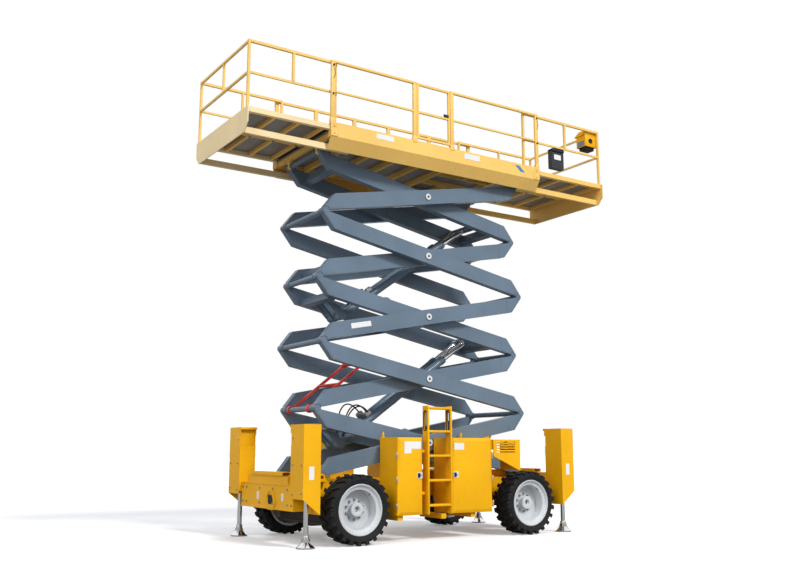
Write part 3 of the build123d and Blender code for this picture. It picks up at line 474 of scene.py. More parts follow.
    def slice_off(self, piece: bpy.types.Object, place: Vector, outward: Vector) -> None:
        """Cut away and close what lies beyond a plane."""
        self.focus(piece)
        bpy.ops.object.mode_set(mode="EDIT")
        bpy.ops.mesh.select_all(action="SELECT")
        bpy.ops.mesh.bisect(plane_co=place, plane_no=outward, use_fill=True, clear_outer=True)
        bpy.ops.object.mode_set(mode="OBJECT")

    def cut(self, piece: bpy.types.Object, cutter: bpy.types.Object) -> None:
        """Take one closed shape out of another."""
        self.focus(piece)
        modifier = piece.modifiers.new("cut", "BOOLEAN")
        modifier.operation = "DIFFERENCE"
        modifier.solver = "EXACT"
        modifier.object = cutter
        bpy.ops.object.modifier_apply(modifier=modifier.name)
        bpy.data.objects.remove(cutter, do_unlink=True)

    def weld(self, name: str, pieces: Sequence[bpy.types.Object]) -> bpy.types.Object:
        """Join several shapes into one piece."""
        self.deselect()
        for piece in pieces:
            piece.select_set(True)
        bpy.context.view_layer.objects.active = pieces[0]
        if len(pieces) > 1:
            bpy.ops.object.join()
        joined = bpy.context.object
        joined.name = name
        return joined

    def settle(self, piece: bpy.types.Object, finish: Finish, body: str,
               smooth: float = 35.0) -> bpy.types.Object:
        """Clean a finished piece, paint it and let it ride on its body.

        Args:
            piece: the modelled object.
            finish: its surface.
            body: name of the body that carries it.
            smooth: largest angle between faces that are shaded smooth.

        Returns:
            The piece.
        """
        self.focus(piece)
        piece.data.name = piece.name
        bpy.ops.object.mode_set(mode="EDIT")
        bpy.ops.mesh.select_all(action="SELECT")
        bpy.ops.mesh.remove_doubles(threshold=0.00002)
        bpy.ops.mesh.normals_make_consistent(inside=False)
        bpy.ops.object.mode_set(mode="OBJECT")
        bpy.ops.object.shade_smooth_by_angle(angle=math.radians(smooth))
        piece.data.materials.clear()
        piece.data.materials.append(finish.build())
        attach(piece, body)
        self.count += 1
        log.info("piece %s on %s", piece.name, body)
        return piece


bench = Bench()
SIDES: tuple[tuple[str, int], ...] = (("near", -1), ("far", 1))


def facing(direction: Point, tolerance: float = 0.9) -> FaceTest:
    """Test that passes faces whose normal points along a direction."""
    aim = Vector(direction).normalized()
    return lambda centre, normal: normal.dot(aim) > tolerance


def slanted(origin: Point, tilt: float) -> Matrix:
    """Matrix of a plane that faces -Y, turned by a tilt in radians about that axis."""
    along = Vector((math.cos(tilt), 0.0, math.sin(tilt)))
    up = Vector((-math.sin(tilt), 0.0, math.cos(tilt)))
    out = Vector((0.0, -1.0, 0.0))
    matrix = Matrix((along, up, out)).transposed().to_4x4()
    matrix.translation = Vector(origin)
    return matrix


def joint_place(name: str) -> Vector:
    """Place of a joint of the frame, in metres."""
    for joint in frame["joints"]:
        if joint["name"] == name:
            return Vector(joint["pos_m"])
    raise KeyError(name)


# ------------------------------------------------------------------ wheels
@dataclass
class Wheel:
    """Hub, nuts, valve and sidewall rings of one wheel."""

    end: str
    side_name: str
    side: int
    disc_face: float = 0.018
    hub_length: float = 0.054
    nut_circle: float = 0.125
    nut_count: int = 10

    def build(self) -> None:
        """Model and place the wheel's fittings."""
        tag = f"{self.end}_{self.side_name}"
        body = f"wheel_{tag}"
        low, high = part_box(f"rim_{tag}")
        centre = (low + high) / 2
        centre.y = self.side * 0.980

        def at(radius: float, angle: float, inboard: float) -> Point:
            """Point of the wheel at a radius, an angle and a depth behind its middle."""
            return (centre.x + radius * math.cos(angle), centre.y - self.side * inboard,
                    centre.z + radius * math.sin(angle))

        out = (0.0, float(self.side), 0.0)
        face = self.disc_face
        hub = bench.drum(f"hub_{tag}", at(0, 0, face - 0.034), at(0, 0, -face - 0.022), 0.070, 40)
        bench.recess(hub, facing(out), 0.012, -0.008)
        bench.recess(hub, facing(out), 0.030, 0.026)
        bench.round_edges(hub, 0.004)
        bench.settle(hub, RIM, body)
        # Painted shade: a near-black plug deep in the hub stands for the dark hole of its bore.
        core = bench.drum(f"hub_bore_{tag}", at(0, 0, 0.0), at(0, 0, -0.026), 0.027, 24)
        bench.recess(core, facing(out), 0.008, 0.012)
        bench.settle(core, HOSE_AND_HOLE_SHADE, body)
        nuts = []
        for k in range(self.nut_count):
            angle = 2 * math.pi * (k + 0.5) / self.nut_count
            nut = bench.drum("nut", at(self.nut_circle, angle, face - 0.0005),
                             at(self.nut_circle, angle, face - 0.022), 0.0165, 6)
            bench.recess(nut, facing(out), 0.005, -0.012)
            nuts.append(nut)
        bench.settle(bench.weld(f"wheel_nuts_{tag}", nuts), ZINC, body, 25)
        rings = [bench.torus("ring", at(0, 0, -0.1555), out, 0.352, 0.0045, 66, 8),
                 bench.torus("ring", at(0, 0, -0.1605), out, 0.376, 0.0035, 66, 8)]
        bench.settle(bench.weld(f"sidewall_rings_{tag}", rings), RUBBER, body)
        bead = bench.torus(f"rim_bead_{tag}", at(0, 0, -0.1475), out, 0.3135, 0.0075, 72, 10)
        bench.settle(bead, RIM, body)
        valve = bench.hose(f"valve_{tag}", [at(0.262, 0.9, -0.105), at(0.250, 0.9, -0.110),
                                            at(0.236, 0.9, -0.122), at(0.222, 0.9, -0.128)], 0.006)
        bench.settle(valve, HOSE_AND_HOLE_SHADE, body)


# ------------------------------------------------------------------ scissor stack
@dataclass
class ScissorStack:
    """Caps, collars, end plates, hoses and blank plates of the lifting arms."""

    stages: int = 5
    pitch: float = 3.523
    pin_rise: float = 0.113
    tilt: float = math.radians(10.99)
    outer_face: float = 0.660
    inner_face: float = 0.515
    tip_run: float = 0.185
    eye_radius: float = 0.047

    def centre(self, stage: int) -> Vector:
        """Middle of a stage's crossing."""
        place = joint_place(f"cross_{stage}")
        return Vector((place.x, 0.0, place.z))

    def rising(self, stage: int, outer: bool) -> bool:
        """Tell whether an arm climbs to the right."""
        return outer == (stage % 2 == 1)

    def arm_point(self, stage: int, outer: bool, u: float, w: float) -> Vector:
        """World place of a point in an arm's own axes, on the centre plane."""
        tilt = self.tilt if self.rising(stage, outer) else -self.tilt
        middle = self.centre(stage)
        return Vector((middle.x + u * math.cos(tilt) - w * math.sin(tilt), 0.0,
                       middle.z + u * math.sin(tilt) + w * math.cos(tilt)))

    def build(self) -> None:
        """Model every fitting of the stack."""
        reach = math.sqrt((self.pitch / 2) ** 2 - self.pin_rise ** 2)
        for stage in range(1, self.stages + 1):
            self._centre_caps(stage)
            for outer in (True, False):
                lean = 1 if self.rising(stage, outer) else -1
                top = self.arm_point(stage, outer, lean * reach, self.pin_rise)
                self._pivot_ends(stage, outer, top)
                self._pointed_frame(stage, outer, reach)
                self._tip_plates(stage, outer, reach)
        self._plates()
        self._valves_and_hoses()
        self._lugs()

    def _centre_caps(self, stage: int) -> None:
        """White ring with a dark bolt on each crossing's pin."""
        middle = self.centre(stage)
        for name, side in SIDES:
            y = side * (self.outer_face + 0.0088)
            out = (0.0, float(side), 0.0)
            ring = bench.drum(f"pin_cap_{stage}_{name}", (middle.x, y, middle.z),
                              (middle.x, y + side * 0.004, middle.z), 0.0470, 36)
            bench.recess(ring, facing(out), 0.026, 0.003)
            bench.round_edges(ring, 0.0010, 1)
            bench.settle(ring, CAP_WHITE, f"outer_arms_{stage}")
            bolt = bench.drum(f"pin_bolt_{stage}_{name}", (middle.x, y + side * 0.0008, middle.z),
                              (middle.x, y + side * 0.0075, middle.z), 0.0155, 6)
            bench.recess(bolt, facing(out), 0.004, -0.003)
            bench.settle(bolt, DARK, f"outer_arms_{stage}", 20)

    def _pivot_ends(self, stage: int, outer: bool, top: Vector) -> None:
        """Collars inside the arms and end caps on a pivot tube."""
        kind = "outer" if outer else "inner"
        face = self.outer_face if outer else self.inner_face
        if outer and stage == self.stages:
            return
        inside = 0.550 if outer else 0.400
        for name, side in SIDES:
            collar = bench.drum(f"collar_{kind}_{stage}_{name}",
                                (top.x, side * (inside - 0.012), top.z),
                                (top.x, side * (inside - 0.036), top.z), 0.050, 28)
            bench.round_edges(collar, 0.004)
            cap = bench.drum("cap", (top.x, side * (face - 0.004), top.z),
                             (top.x, side * (face + 0.004), top.z), 0.0375, 28)
            bench.recess(cap, facing((0.0, float(side), 0.0)), 0.012, 0.003)
            bench.settle(bench.weld(collar.name, [collar, cap]), SLATE, f"{kind}_arms_{stage}")

    def _pointed_frame(self, stage: int, outer: bool, reach: float) -> None:
        """Arm frame whose ends run to a point at the pivots' eyes."""
        kind = "outer" if outer else "inner"
        lean = 1 if self.rising(stage, outer) else -1
        piece = bench.copy_node(f"{kind}_arms_pointed_{stage}", f"{kind}_frame_{stage}")
        run, half = self.tip_run, 0.1075
        span = Vector((run, self.pin_rise + half))
        angle = math.atan2(span.y, span.x) - math.asin(self.eye_radius / span.length)
        for end in (1, -1):
            flip = end * lean
            start = self.arm_point(stage, outer, end * (reach - run), -flip * half)
            away = self.arm_point(stage, outer, end * (reach - run + math.sin(angle)),
                                  -flip * (half + math.cos(angle))) - start
            bench.slice_off(piece, start, away)
        bench.settle(piece, SLATE, f"{kind}_arms_{stage}", 30)
        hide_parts(f"{kind}_frame_{stage}")

    def _tip_plates(self, stage: int, outer: bool, reach: float) -> None:
        """Welded doubler plates on the flanks of an arm's two ends."""
        kind = "outer" if outer else "inner"
        face = self.outer_face if outer else self.inner_face
        lean = 1 if self.rising(stage, outer) else -1
        tilt = self.tilt * lean
        middle = self.centre(stage)
        half = 0.1075
        plates = []
        for end in (1, -1):
            points = [(reach - 0.290, -half + 0.010), (reach - 0.193, -half + 0.010),
                      (reach - 0.030, 0.042), (reach - 0.052, half - 0.012),
                      (reach - 0.250, half - 0.012)]
            points = [(end * u, end * lean * w) for u, w in points]
            if lean * end * end < 0:
                points = points[::-1]
            for name, side in SIDES:
                plane = slanted((middle.x, 0.0, middle.z), tilt)
                plate = bench.outline("plate", plane, points, 0.0022)
                plate.data.transform(Matrix.Translation((0.0, side * (face + 0.0010), 0.0)))
                bench.round_edges(plate, 0.0009, 1)
                plates.append(plate)
        bench.settle(bench.weld(f"tip_plates_{kind}_{stage}", plates), SLATE,
                     f"{kind}_arms_{stage}")

    def _plates(self) -> None:
        """Blank white plates on the arms' flanks."""
        tilt = self.tilt
        place = self.arm_point(3, True, -1.150, 0.020)
        plane = slanted((place.x, -self.outer_face - 0.0005, place.z), tilt)
        x, z = 0.160, 0.036
        plate = bench.outline("arm_placard", plane, [(-x, -z), (x, -z), (x, z), (-x, z)], 0.0022)
        bench.round_edges(plate, 0.0008, 1)
        bench.settle(plate, WHITE, "outer_arms_3")

    def _valves_and_hoses(self) -> None:
        """Valve blocks on the lift cylinders and their hoses."""
        for name, low_stage in (("lower", 1), ("upper", 3)):
            base = self.arm_point(low_stage, False, -1.124, -0.234)
            eye = self.arm_point(low_stage + 2, False, 1.080, -0.045)
            aim = (eye - base).normalized()
            up = Vector((-aim.z, 0.0, aim.x))
            body = f"{name}_barrels"
            root = base + aim * 0.62 + up * 0.075
            blocks = []
            for y in (-0.110, 0.110):
                block = bench.box("block", (-0.050, -0.028, -0.022), (0.050, 0.028, 0.030))
                bench.recess(block, facing((0, 0, 1)), 0.010, -0.012)
                matrix = Matrix((aim, Vector((0, 1, 0)), up)).transposed().to_4x4()
                matrix.translation = root + Vector((0, y, 0))
                block.data.transform(matrix)
                bench.round_edges(block, 0.003)
                blocks.append(block)
            bench.settle(bench.weld(f"{name}_valve_blocks", blocks), ZINC, body)
            loops = []
            for k, y in enumerate((-0.135, -0.100, 0.100) if name == "lower" else ()):
                start = root + Vector((0, y, 0)) + up * 0.030
                rise = 0.16 + 0.03 * k
                points = [start, start + up * 0.06, start + up * rise - aim * 0.05,
                          start + up * (rise + 0.02) - aim * 0.20,
                          start + up * 0.10 - aim * 0.38, start - up * 0.035 - aim * 0.44,
                          start - up * 0.045 - aim * 0.52]
                loops.append(bench.hose("loop", [tuple(p) for p in points], 0.010))
            if loops:
                bench.settle(bench.weld(f"{name}_hoses", loops), HOSE_AND_HOLE_SHADE, body)
            bands = []
            for y in (-0.110, 0.110):
                for reach in (0.16, 1.05, 2.115):
                    band = bench.drum("band", tuple(base + aim * reach + Vector((0, y, 0))),
                                      tuple(base + aim * (reach + 0.075) + Vector((0, y, 0))),
                                      0.0600 if reach > 2 else 0.0575, 32)
                    bench.round_edges(band, 0.003)
                    bands.append(band)
            bench.settle(bench.weld(f"{name}_barrel_bands", bands), SLATE, body)

    def _lugs(self) -> None:
        """Small eye lugs on the arms' upper edges."""
        for tag, stage, outer, u, y in (("high", 5, True, 0.900, -0.600),
                                        ("mid", 3, False, -0.620, -0.455),
                                        ("low", 1, False, -0.300, -0.455)):
            tilt = self.tilt if self.rising(stage, outer) else -self.tilt
            place = self.arm_point(stage, outer, u, 0.107)
            plane = slanted((place.x, y - 0.010, place.z), tilt)
            points = [(-0.060, 0.0), (0.060, 0.0), (0.045, 0.026), (0.020, 0.034),
                      (-0.020, 0.034), (-0.045, 0.026)]
            lug = bench.outline(f"lug_{tag}", plane, points, -0.020)
            bench.round_edges(lug, 0.002)
            kind = "outer" if outer else "inner"
            bench.settle(lug, SLATE, f"{kind}_arms_{stage}")


# ------------------------------------------------------------------ safety prop
@dataclass
class SafetyProp:
    """Middle cross piece and foot plates of the red maintenance prop."""

    slope: float = math.radians(38.0)
    half_width: float = 0.280
    middle: float = 0.560
    bar: float = 0.034

    def build(self) -> None:
        """Model the prop's fittings."""
        pivot = joint_place("prop_swing")
        aim = Vector((math.cos(self.slope), 0.0, math.sin(self.slope)))
        up = Vector((-aim.z, 0.0, aim.x))
        turn = Matrix((aim, Vector((0, 1, 0)), up)).transposed().to_4x4()
        turn.translation = Vector((pivot.x, 0.0, pivot.z))
        half = self.bar / 2
        reach = self.half_width - 0.018
        parts = []
        cross = bench.box("cross", (self.middle - half, -reach, -half),
                          (self.middle + half, reach, half))
        parts.append(cross)
        for side in (-1, 1):
            y = side * self.half_width
            parts.append(bench.box("shoe", (1.052, y - 0.030, -0.030), (1.1005, y + 0.030, 0.030)))
        for part in parts:
            bench.round_edges(part, 0.003)
        prop = bench.weld("prop_cross", parts)
        prop.data.transform(turn)
        bench.settle(prop, RED, "safety_prop")


# ------------------------------------------------------------------ outriggers
@dataclass
class Outriggers:
    """Lips, bolts, plates, jack glands, feet and cross beams of the four outriggers."""

    rear_x: float = -2.310
    front_x: float = 1.965
    side_y: tuple[float, float] = (0.800, 1.140)
    half_length: float = 0.120
    top: float = 1.500

    def build(self) -> None:
        """Model both ends and both sides."""
        for end, x, outward in (("rear", self.rear_x, -1), ("front", self.front_x, 1)):
            for name, side in SIDES:
                self._housing(f"{end}_{name}", x, outward, side)
                self._jack(f"{end}_{name}", x, side)
            self._beam(end, x, outward)

    def _housing(self, tag: str, x: float, outward: int, side: int) -> None:
        """Cap lip, edge flanges, bolts and a blank plate on one housing."""
        inner, outer = self.side_y
        x0, x1 = x - self.half_length, x + self.half_length
        lip = bench.box("lip", (x0 - 0.004, side * (inner - 0.045), self.top - 0.0085),
                        (x1 + 0.004, side * (inner + 0.030), self.top - 0.0005))
        drop = bench.box("drop", (x0 - 0.004, side * (inner - 0.045), self.top - 0.032),
                         (x1 + 0.004, side * (inner - 0.037), self.top - 0.007))
        liner = bench.box("liner", (x0 + 0.010, side * (inner + 0.012), 1.160),
                          (x1 - 0.010, side * (inner + 0.018), 1.490))
        parts = [lip, drop, liner]
        for edge in (x0, x1 - 0.008):
            for low, high, depth in ((1.395, 1.492, 0.026), (0.700, 0.790, 0.022)):
                parts.append(bench.box("gusset", (edge, side * (inner - depth), low),
                                       (edge + 0.008, side * (inner + 0.002), high)))
        for part in parts:
            bench.round_edges(part, 0.003)
        bench.settle(bench.weld(f"housing_lip_{tag}", parts), YELLOW, "chassis")
        bolts = []
        face = x + outward * self.half_length
        for y, z in ((0.850, 0.640), (1.090, 0.660), (0.850, 1.000), (0.850, 1.330),
                     (1.090, 1.000)):
            bolt = bench.drum("bolt", (face - outward * 0.001, side * y, z),
                              (face + outward * 0.009, side * y, z), 0.0125, 6)
            bench.recess(bolt, facing((float(outward), 0.0, 0.0)), 0.004, -0.004)
            bolts.append(bolt)
        bench.settle(bench.weld(f"housing_bolts_{tag}", bolts), ZINC, "chassis", 20)
        plate = bench.box(f"housing_placard_{tag}",
                          (x - 0.040, side * (outer - 0.0005), 0.825),
                          (x + 0.030, side * (outer + 0.0018), 0.985))
        bench.round_edges(plate, 0.0008, 1)
        bench.settle(plate, WHITE, "chassis")

    def _jack(self, tag: str, x: float, side: int) -> None:
        """Gland under the housing, swivel cup and ribs of one jack."""
        y = side * 1.000
        gland = bench.drum(f"jack_gland_{tag}", (x, y, 0.610), (x, y, 0.668), 0.052, 32)
        bench.recess(gland, facing((0, 0, -1)), 0.010, -0.010)
        bench.round_edges(gland, 0.003)
        bench.settle(gland, IRON, "chassis")
        body = f"jack_{tag}"
        cup = bench.drum("cup", (x, y, 0.078), (x, y, 0.150), 0.043, 32)
        bench.recess(cup, facing((0, 0, 1)), 0.006, -0.006)
        bench.round_edges(cup, 0.003)
        rim = bench.drum("rim", (x, y, 0.0025), (x, y, 0.0175), 0.1145, 40)
        bench.recess(rim, facing((0, 0, 1)), 0.010, -0.004)
        parts = [cup, rim]
        for k in range(4):
            angle = math.pi / 2 * k + math.pi / 4
            aim = Vector((math.cos(angle), math.sin(angle), 0.0))
            across = Vector((-aim.y, aim.x, 0.0))
            plane = Matrix((aim, Vector((0, 0, 1)), -across)).transposed().to_4x4()
            plane.translation = Vector((x, y, 0.0)) + across * 0.004
            parts.append(bench.outline("rib", plane, [(0.030, 0.016), (0.104, 0.016),
                                                      (0.056, 0.086), (0.030, 0.110)], 0.008))
        bench.settle(bench.weld(f"jack_foot_{tag}", parts), ZINC, body)

    def _beam(self, end: str, x: float, outward: int) -> None:
        """Diamond gusset, bolts, blank plates and upper channel on a cross beam."""
        face = x + outward * 0.070
        out = Vector((float(outward), 0.0, 0.0))
        across = Vector((0.0, float(outward), 0.0))
        plane = Matrix((across, Vector((0, 0, 1)), out)).transposed().to_4x4()
        plates = []
        plane.translation = Vector((face - outward * 0.001, -0.130, 0.550))
        diamond = bench.outline("diamond", plane, [(-0.170, 0.020), (-0.060, -0.130),
                                                   (0.110, -0.130), (0.170, -0.020),
                                                   (0.060, 0.150), (-0.060, 0.150)], 0.014)
        bench.recess(diamond, facing(tuple(out)), 0.050, 0.011)
        bench.round_edges(diamond, 0.002)
        plates.append(diamond)
        # Painted shade: a thin near-black sheet at the bottom of the diamond's recess stands for its dark
        # hole.
        plane.translation = Vector((face + outward * 0.001, -0.130, 0.550))
        hole = bench.outline(f"gusset_hole_{end}", plane, [(-0.070, -0.060), (0.070, -0.060),
                                                           (0.070, 0.060), (-0.070, 0.060)], 0.003)
        bench.settle(hole, HOSE_AND_HOLE_SHADE, "chassis")
        for z0, z1 in ((0.735, 0.752), (0.428, 0.445)):
            flange = bench.box("flange", (x - 0.078, -0.785, z0), (x + 0.078, 0.785, z1))
            bench.round_edges(flange, 0.003)
            plates.append(flange)
        channel = bench.box("channel", (x - outward * 0.060, -0.470, 0.852),
                            (x + outward * 0.075, 0.470, 0.905))
        for side in (-1.0, 1.0):
            bench.recess(channel, facing((0.0, side, 0.0)), 0.009, 0.120)
        bench.round_edges(channel, 0.002)
        plates.append(channel)
        bench.settle(bench.weld(f"beam_gussets_{end}", plates), YELLOW, "chassis")
        bolts = []
        for y in (-0.740, -0.620, -0.200, 0.200, 0.620, 0.740):
            for z in (0.500, 0.690):
                bolt = bench.drum("bolt", (face - outward * 0.001, y, z),
                                  (face + outward * 0.012, y, z), 0.0150, 6)
                bench.recess(bolt, facing(tuple(out)), 0.005, -0.005)
                bolts.append(bolt)
        bench.settle(bench.weld(f"beam_bolts_{end}", bolts), ZINC, "chassis", 20)
        tags = []
        for y in (-0.480, 0.260):
            tag = bench.box("tag", (face - outward * 0.0005, y - 0.030, 0.540),
                            (face + outward * 0.0018, y + 0.030, 0.640))
            bench.round_edges(tag, 0.0008, 1)
            tags.append(tag)
        bench.settle(bench.weld(f"beam_placards_{end}", tags), WHITE, "chassis")


# ------------------------------------------------------------------ cabinets and ladder
@dataclass
class Cabinets:
    """Latches, hinge leaves, placards, lifting eyes and grip rims."""

    face: float = 1.120
    left_x: tuple[float, float] = (-1.037, -0.640)
    right_x: tuple[float, float] = (-0.145, 0.545)
    base_z: float = 0.345
    top_z: float = 1.350
    cad_top: float = 1.265
    ladder_x: tuple[float, float] = (-0.556, -0.150)
    ladder_depth: float = 0.125
    ladder_top: float = 1.775
    rung_heights: tuple[float, ...] = (0.460, 0.785, 1.108, 1.432)

    @property
    def stretch(self) -> Matrix:
        """Scale that lifts the cabinets' top and keeps their base."""
        rise = (self.top_z - self.base_z) / (self.cad_top - self.base_z)
        place = Vector((0.0, 0.0, self.base_z))
        return (Matrix.Translation(place) @ Matrix.Diagonal((1.0, 1.0, rise, 1.0))
                @ Matrix.Translation(-place))

    def build(self) -> None:
        """Model the fittings of both sides."""
        for name, side in SIDES:
            self._latch(name, side, "left", self.left_x[1] - 0.052)
            self._latch(name, side, "right", self.right_x[0] + 0.052)
            self._hinges(name, side, "left", self.left_x[0], -1)
            self._hinges(name, side, "right", self.right_x[1], 1)
            self._eyes(name, side)
            self._placards(name, side)
            self._tall_shells(name)
        self._ladder()
        self._louvre_slats()

    def _tall_shells(self, name: str) -> None:
        """Cabinets and doors of one side at their full height."""
        for node, body in ((f"cabinets_{name}", "chassis"),
                           (f"door_{name}_left", f"door_{name}_left"),
                           (f"door_{name}_right", f"door_{name}_right")):
            shell = bench.copy_node(f"{node}_tall", node)
            shell.data.transform(self.stretch)
            bench.settle(shell, YELLOW, body, 30)
            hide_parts(node)

    def _latch(self, name: str, side: int, door: str, x: float) -> None:
        """Paddle latch in a white pan on one door."""
        y = side * self.face
        out = (0.0, float(side), 0.0)
        pan = bench.box(f"latch_pan_{name}_{door}", (x - 0.042, y - side * 0.002, 0.815),
                        (x + 0.042, y + side * 0.005, 0.895))
        bench.recess(pan, facing(out), 0.008, 0.004)
        bench.round_edges(pan, 0.0015, 1)
        bench.settle(pan, CAP_WHITE, f"door_{name}_{door}")
        handle = bench.box(f"latch_handle_{name}_{door}", (x - 0.032, y, 0.827),
                           (x + 0.004, y + side * 0.011, 0.883))
        bench.recess(handle, facing(out), 0.008, 0.004)
        bench.round_edges(handle, 0.003)
        bench.settle(handle, HOSE_AND_HOLE_SHADE, f"door_{name}_{door}")
        lock = bench.drum(f"latch_lock_{name}_{door}", (x + 0.018, y, 0.855),
                          (x + 0.018, y + side * 0.009, 0.855), 0.011, 20)
        bench.recess(lock, facing(out), 0.004, 0.003)
        bench.settle(lock, ZINC, f"door_{name}_{door}")

    def _hinges(self, name: str, side: int, door: str, wall: float, edge: int) -> None:
        """Zinc sleeves over the three hinges of one door."""
        axis_x = wall + edge * 0.011
        axis_y = side * (self.face - 0.008)
        sleeves = []
        for height in (0.450, 0.760, 1.050):
            z = (self.stretch @ Vector((0.0, 0.0, height))).z
            sleeve = bench.drum("sleeve", (axis_x, axis_y, z - 0.0348),
                                (axis_x, axis_y, z + 0.0348), 0.0096, 20)
            bench.round_edges(sleeve, 0.0015)
            leaf = bench.box("leaf", (axis_x, axis_y - side * 0.011, z - 0.034),
                             (wall - edge * 0.012, axis_y - side * 0.004, z + 0.034))
            bench.round_edges(leaf, 0.0012, 1)
            sleeves.extend((sleeve, leaf))
        bench.settle(bench.weld(f"hinge_sleeves_{name}_{door}", sleeves), ZINC,
                     f"door_{name}_{door}")

    def _eyes(self, name: str, side: int) -> None:
        """Lifting eyes on the cabinets' tops."""
        for tag, x in (("left", -1.015), ("right", 0.300)):
            y = side * 0.720
            ring = bench.torus("ring", (x, y, self.top_z + 0.042), (1.0, -0.35, 0.0), 0.026, 0.009,
                               32, 12)
            stem = bench.drum("stem", (x, y, self.top_z - 0.002), (x, y, self.top_z + 0.016),
                              0.020, 24)
            bench.round_edges(stem, 0.003)
            bench.settle(bench.weld(f"lifting_eye_{name}_{tag}", [ring, stem]), YELLOW, "chassis")

    def _placards(self, name: str, side: int) -> None:
        """Blank white plates on the doors."""
        y = side * self.face
        plates = (("left", "wide", (-0.935, -0.672, 1.200, 1.298)),
                  ("left", "tall", (-0.935, -0.825, 1.140, 1.202)),
                  ("right", "wide", (-0.118, 0.050, 1.188, 1.280)))
        for door, tag, (x0, x1, z0, z1) in plates:
            plate = bench.box(f"door_placard_{name}_{door}_{tag}", (x0, y - side * 0.0005, z0),
                              (x1, y + side * 0.0020, z1))
            bench.round_edges(plate, 0.0008, 1)
            bench.settle(plate, WHITE, f"door_{name}_{door}")

    def _ladder(self) -> None:
        """Ladder between the cabinets: side plates with hand holes, rungs and a top bar."""
        x0, x1 = self.ladder_x
        thick, back = 0.026, -(self.face - self.ladder_depth)
        hole = Vector((0.0, -self.face + self.ladder_depth / 2, self.ladder_top - 0.200))
        capsule = []
        for k in range(28):
            angle = 2 * math.pi * (k + 0.5) / 28
            shift = 0.098 if math.sin(angle) >= 0 else -0.098
            capsule.append((hole.y + 0.036 * math.cos(angle),
                            hole.z + shift + 0.036 * math.sin(angle)))
        parts = []
        for tag, x in (("left", x0), ("right", x1 - thick)):
            plate = bench.box("plate", (x, -self.face, self.base_z), (x + thick, back, self.ladder_top))
            profile = Matrix(((0, 0, 1, x - 0.010), (1, 0, 0, 0), (0, 1, 0, 0), (0, 0, 0, 1)))
            bench.cut(plate, bench.outline("cutter", profile, capsule, thick + 0.020))
            bench.round_edges(plate, 0.004)
            parts.append(plate)
            rims = [bench.hose("rim", [(face, y, z) for y, z in capsule + capsule[:2]], 0.0065)
                    for face in (x - 0.001, x + thick + 0.001)]
            bench.settle(bench.weld(f"grip_rim_{tag}", rims), HOSE_AND_HOLE_SHADE, "chassis")
        for z in (*self.rung_heights, self.ladder_top - 0.030):
            rung = bench.box("rung", (x0 + thick - 0.001, -self.face + 0.004, z - 0.016),
                             (x1 - thick + 0.001, back - 0.012, z + 0.016))
            bench.round_edges(rung, 0.007, 3)
            parts.append(rung)
        for z in (0.600, 1.150):
            tie = bench.box("tie", (self.left_x[1] - 0.004, back - 0.060, z),
                            (x0 + 0.004, back - 0.020, z + 0.040))
            bench.round_edges(tie, 0.003)
            parts.append(tie)
        ladder = bench.settle(bench.weld("ladder_open", parts), YELLOW, "chassis")
        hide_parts("ladder")

    def _louvre_slats(self) -> None:
        """Pressed hoods over the louvre openings, in two columns."""
        for name, side in SIDES:
            slats = []
            for x0, x1 in ((0.640, 0.770), (0.825, 0.955)):
                for k in range(4):
                    z = 1.160 + k * 0.040
                    slat = bench.box("slat", (x0, side * (self.face - 0.004), z),
                                     (x1, side * (self.face + 0.010), z + 0.020))
                    bench.pick_faces(slat, facing((0.0, float(side), 0.0)))
                    bpy.ops.transform.resize(value=(0.86, 1.0, 0.5))
                    bpy.ops.object.mode_set(mode="OBJECT")
                    bench.round_edges(slat, 0.003)
                    slats.append(slat)
            bench.settle(bench.weld(f"louvre_slats_{name}", slats), YELLOW, "chassis")


